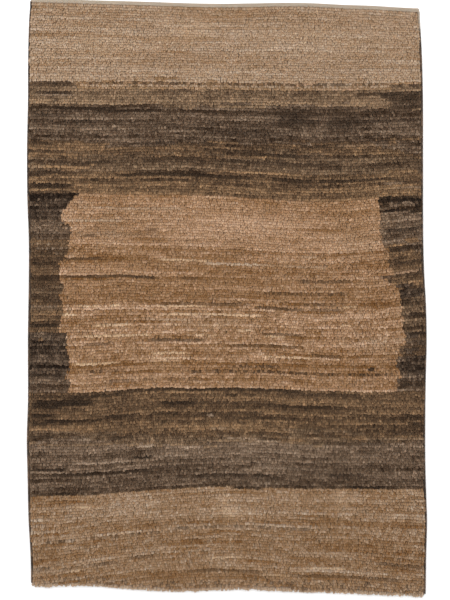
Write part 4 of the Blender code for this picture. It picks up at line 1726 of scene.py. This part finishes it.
@dataclass
class EndStrip:
    """The pale flat-woven strip past the last row of knots at the far end."""

    warps: int = 400
    wefts: int = 9
    points_per_warp: int = 2
    points_per_weft: int = 3
    inset: float = 0.0003
    base: float = 0.0021
    relief: float = 0.0009
    unevenness: float = 0.00010
    underside: float = 0.0002
    rim: float = 0.0016
    corner_radius: float = 0.004
    rim_floor: float = 0.45
    ridge_power: float = 0.7
    depth_painted_shade: float = 0.30
    wool_spread: float = 0.03
    wool_reach: tuple[float, float] = (9.0, 1.0)
    seed: int = 19
    piece: bpy.types.Object | None = None

    def build(self, solid: Solid) -> None:
        """Builds the strip with its wefts passing over and under the warps.

        Args:
            solid: The strip's CAD node.
        """
        rng = np.random.default_rng(self.seed)
        columns = self.warps * self.points_per_warp + 1
        rows = self.wefts * self.points_per_weft + 1
        across = np.linspace(0.0, 1.0, columns)
        low, high = solid.low[0] + self.inset, solid.high[0] - self.inset
        x = low + (high - low) * across
        far = self.far_edge(solid, x, low, high)
        near = solid.wall(1, -1.0, x)
        share = np.linspace(0.0, 1.0, rows)[:, None]
        y = far[None, :] + (near - far)[None, :] * share
        x = np.repeat(x[None, :], rows, axis=0)
        weft = share * self.wefts
        ridge = np.abs(np.sin(math.pi * weft)) ** self.ridge_power
        over = np.cos(math.pi * (across[None, :] * self.warps + np.floor(weft)))
        rise = ridge * (1.0 + over) / 2.0
        z = self.base + self.relief * rise + self.unevenness * rng.standard_normal(rise.shape)
        rim = np.minimum(far[None, :] - y, np.minimum(x - low, high - x))
        z = self.underside + (z - self.underside) * np.clip(self.rim_floor + rim / self.rim, 0.0, 1.0)
        top = np.stack([x, y, z], axis=-1)
        bottom = np.stack([x, y, np.full(x.shape, self.underside)], axis=-1)
        mesh = closed_slab("end_strip_weave", top, bottom)
        wool = 1.0 + self.wool_spread * blurred(rng.standard_normal((rows, columns)), *self.wool_reach)
        # Painted shade: the weave's lower points are darker and its higher ones paler, on top of the wool's
        # own random tone.
        shade = wool * (1.0 + self.depth_painted_shade * (rise - rise.mean()))
        colour = np.clip(Yarn.ECRU.srgb()[None, None, :] * shade[..., None], 0.0, 1.0)
        colour = with_alpha(linear_light(colour)).reshape(-1, 4)
        set_attribute(mesh, "yarn", "FLOAT_COLOR", np.concatenate([colour, colour]))
        self.piece = add_piece(mesh, FLATWEAVE_WOOL.material())

    def far_edge(self, solid: Solid, x: np.ndarray, low: float, high: float) -> np.ndarray:
        """The strip's far edge, rounded a little at its two corners.

        Args:
            solid: The strip's CAD node.
            x: World x of the strip's columns.
            low: World x of its left end.
            high: World x of its right end.

        Returns:
            World y for every column.
        """
        into = np.clip(self.corner_radius - np.minimum(x - low, high - x), 0.0, self.corner_radius)
        return solid.wall(1, 1.0, x) - self.corner_radius + np.sqrt(self.corner_radius**2 - into**2)

    def dress(self) -> None:
        """Attaches the strip to the body that it rides on and hides its CAD node."""
        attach(self.piece, BODY)
        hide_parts("end_strip")


@dataclass
class SideBinding:
    """The yarn overcast round the cord of one long side."""

    side: Side
    pale_length: float = 0.0
    pale_fade: float = 0.02
    pitch: float = 0.0029
    cord_radius: float = 0.0018
    yarn_radius: float = 0.0015
    far_reach: float = 0.0040
    near_stop: float = 0.0060
    slant: float = math.radians(18.0)
    outset: float = 0.0004
    stations: int = 300
    cord_sides: int = 8
    yarn_sides: int = 6
    shade_spread: float = 0.22
    shade_reach: float = 0.7
    shade_limits: tuple[float, float] = (0.70, 1.35)
    seed: int = 23
    piece: bpy.types.Object | None = None

    def build(self, solid: Solid) -> None:
        """Builds the cord and the yarn round it.

        Args:
            solid: The binding's CAD node.
        """
        rng = np.random.default_rng(self.seed + len(self.side.value))
        reach = self.cord_radius + self.yarn_radius
        top, bottom = solid.high[1] - reach + self.far_reach, solid.low[1] + reach + self.near_stop
        y = np.linspace(top, bottom, self.stations)
        x = (solid.wall(0, -1.0, y) + solid.wall(0, 1.0, y)) / 2.0
        x += math.copysign(self.outset, solid.low[0])
        z = np.full(self.stations, reach)
        points = np.stack([x, y, z], axis=1)
        edges = [(i, i + 1) for i in range(self.stations - 1)]
        guide = guide_mesh("binding_path", points, edges)
        wool = blurred(rng.standard_normal((self.stations, 3)), 0.0, self.shade_reach)[:, :1]
        shade = np.clip(1.0 + self.shade_spread * wool, *self.shade_limits)
        colour = Yarn.BARK.srgb()[None, :] * shade
        pale = np.clip((self.pale_length - (solid.high[1] - y)) / self.pale_fade, 0.0, 1.0)[:, None]
        colour = colour * (1.0 - pale) + Yarn.ECRU.srgb()[None, :] * pale
        colour = with_alpha(linear_light(np.clip(colour, 0.0, 1.0)))
        set_attribute(guide.data, "yarn", "FLOAT_COLOR", colour)
        values = {
            "Pitch": self.pitch, "Cord Radius": self.cord_radius, "Yarn Radius": self.yarn_radius,
            "Slant": self.slant, "Material": BINDING_WOOL.material(),
        }
        self.piece = self.tree().apply(guide, values, "binding_" + self.side.value + "_overcast")

    def tree(self) -> NodeTree:
        """The node tree that overcasts a path.

        Returns:
            The tree.
        """
        tree = NodeTree("overcast_binding")
        names = ("Pitch", "Cord Radius", "Yarn Radius", "Slant")
        pitch, cord, yarn, slant = (tree.input(name) for name in names)
        material = tree.input("Material", "NodeSocketMaterial")
        path = tree.node("GeometryNodeMeshToCurve", {0: tree.source.outputs["Geometry"]})
        circle = "GeometryNodeCurvePrimitiveCircle"
        turn_round = tree.node(circle, {"Resolution": self.cord_sides, "Radius": cord}, mode="RADIUS")
        strand = tree.node(circle, {"Resolution": self.yarn_sides, "Radius": yarn}, mode="RADIUS")
        loop = tree.node(
            "GeometryNodeCurveToMesh",
            {"Curve": turn_round.outputs["Curve"], "Profile Curve": strand.outputs["Curve"],
             "Fill Caps": False},
        )
        tilt = tree.node("ShaderNodeCombineXYZ", {1: slant})
        slanted = tree.node(
            "GeometryNodeTransform", {"Geometry": loop.outputs[0], "Rotation": tilt.outputs[0]}
        )
        smooth = tree.node("GeometryNodeSetShadeSmooth", {"Geometry": slanted.outputs[0]})
        spaced = tree.node(
            "GeometryNodeCurveToPoints", {"Curve": path.outputs[0], "Length": pitch}, mode="LENGTH"
        )
        wraps = tree.node(
            "GeometryNodeInstanceOnPoints",
            {"Points": spaced.outputs["Points"], "Instance": smooth.outputs[0],
             "Rotation": spaced.outputs["Rotation"]},
        )
        real = tree.node("GeometryNodeRealizeInstances", {0: wraps.outputs[0]})
        core = tree.node(circle, {"Resolution": self.cord_sides, "Radius": cord}, mode="RADIUS")
        inner = tree.node(
            "GeometryNodeCurveToMesh",
            {"Curve": path.outputs[0], "Profile Curve": core.outputs["Curve"], "Fill Caps": True},
        )
        joined = tree.node("GeometryNodeJoinGeometry")
        tree.tree.links.new(real.outputs[0], joined.inputs[0])
        tree.tree.links.new(inner.outputs[0], joined.inputs[0])
        tree.finish(joined.outputs[0], material)
        return tree

    def dress(self) -> None:
        """Attaches the binding to the body that it rides on and hides its CAD node."""
        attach(self.piece, BODY)
        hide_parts("binding_" + self.side.value)


@dataclass
class Studio:
    """A plain pale floor, soft light and the camera straight over the rug."""

    lens: float = 100.0
    sensor: float = 36.0
    focus_height: float = 0.004
    tip_drop: float = 0.0019
    floor_size: float = 14.0
    floor_drop: float = 0.0004
    floor_shade: float = 0.92
    floor_roughness: float = 0.9
    world_strength: float = 0.95
    key_energy: float = 68.0
    key_size: float = 2.6
    key_place: tuple[float, float, float] = (-0.4, 0.9, 2.9)

    def build(self) -> None:
        """Makes the floor, the lights and the camera."""
        self.floor()
        self.light()
        self.camera()
        bpy.context.scene.view_settings.view_transform = "Standard"

    def floor(self) -> None:
        """Lays the floor just under the rug."""
        half = self.floor_size / 2.0
        corners = [(-half, -half), (half, -half), (half, half), (-half, half)]
        mesh = bpy.data.meshes.new("floor")
        mesh.from_pydata([(x, y, -self.floor_drop) for x, y in corners], [], [(0, 1, 2, 3)])
        shader = Shader("floor_paint")
        shader.surface.inputs["Base Color"].default_value = (self.floor_shade,) * 3 + (1.0,)
        shader.surface.inputs["Roughness"].default_value = self.floor_roughness
        add_piece(mesh, shader.material)

    def light(self) -> None:
        """Fills the room with soft light and hangs one large lamp past the far end."""
        world = bpy.data.worlds.new("studio")
        world.use_nodes = True
        world.node_tree.nodes["Background"].inputs["Color"].default_value = (1.0, 1.0, 1.0, 1.0)
        world.node_tree.nodes["Background"].inputs["Strength"].default_value = self.world_strength
        bpy.context.scene.world = world
        lamp = bpy.data.lights.new("key", "AREA")
        lamp.shape = "SQUARE"
        lamp.size = self.key_size
        lamp.energy = self.key_energy
        key = bpy.data.objects.new("key", lamp)
        key.location = self.key_place
        key.rotation_euler = (Vector((0.0, 0.0, 0.0)) - key.location).to_track_quat("-Z", "Y").to_euler()
        bpy.context.scene.collection.objects.link(key)

    def camera(self) -> None:
        """Sets the camera over the point that the photograph's middle shows."""
        data = bpy.data.cameras.new("camera")
        data.lens = self.lens
        data.sensor_width = self.sensor
        data.sensor_fit = "AUTO"
        seen = PHOTO.height * PHOTO.metres_per_pixel
        distance = seen * self.lens / self.sensor
        camera = bpy.data.objects.new("camera", data)
        camera.location = (
            PHOTO.to_x(PHOTO.width / 2.0), PHOTO.to_y(PHOTO.height / 2.0) - self.tip_drop,
            self.focus_height + distance,
        )
        bpy.context.scene.collection.objects.link(camera)
        bpy.context.scene.camera = camera


def report(piece: bpy.types.Object) -> None:
    """Logs one piece's name and size in faces."""
    LOG.info("%s: %d faces", piece.name, len(piece.data.polygons))


def main() -> None:
    """Builds the rug and its studio in order."""
    logging.basicConfig(level=logging.INFO, format="%(name)s: %(message)s")
    Studio().build()
    field_solid = Solid("pile_field")
    warp = Warp()
    warp.lay(field_solid)
    design = Design()
    design.chart(warp)
    pile = KnottedPile()
    pile.build(warp, design, field_solid)
    pile.dress()
    strip = EndStrip()
    strip.build(Solid("end_strip"))
    strip.dress()
    bindings = [SideBinding(Side.LEFT), SideBinding(Side.RIGHT, pale_length=RIGHT_PALE_LENGTH)]
    for binding in bindings:
        binding.build(Solid("binding_" + binding.side.value))
        binding.dress()
    ground = GroundWeave()
    ground.build(warp, design, field_solid)
    beside = pile.pieces + [strip.piece] + [binding.piece for binding in bindings]
    ground.dress(beside)
    for piece in beside + [ground.piece]:
        report(piece)


if __name__ == "__main__":
    main()
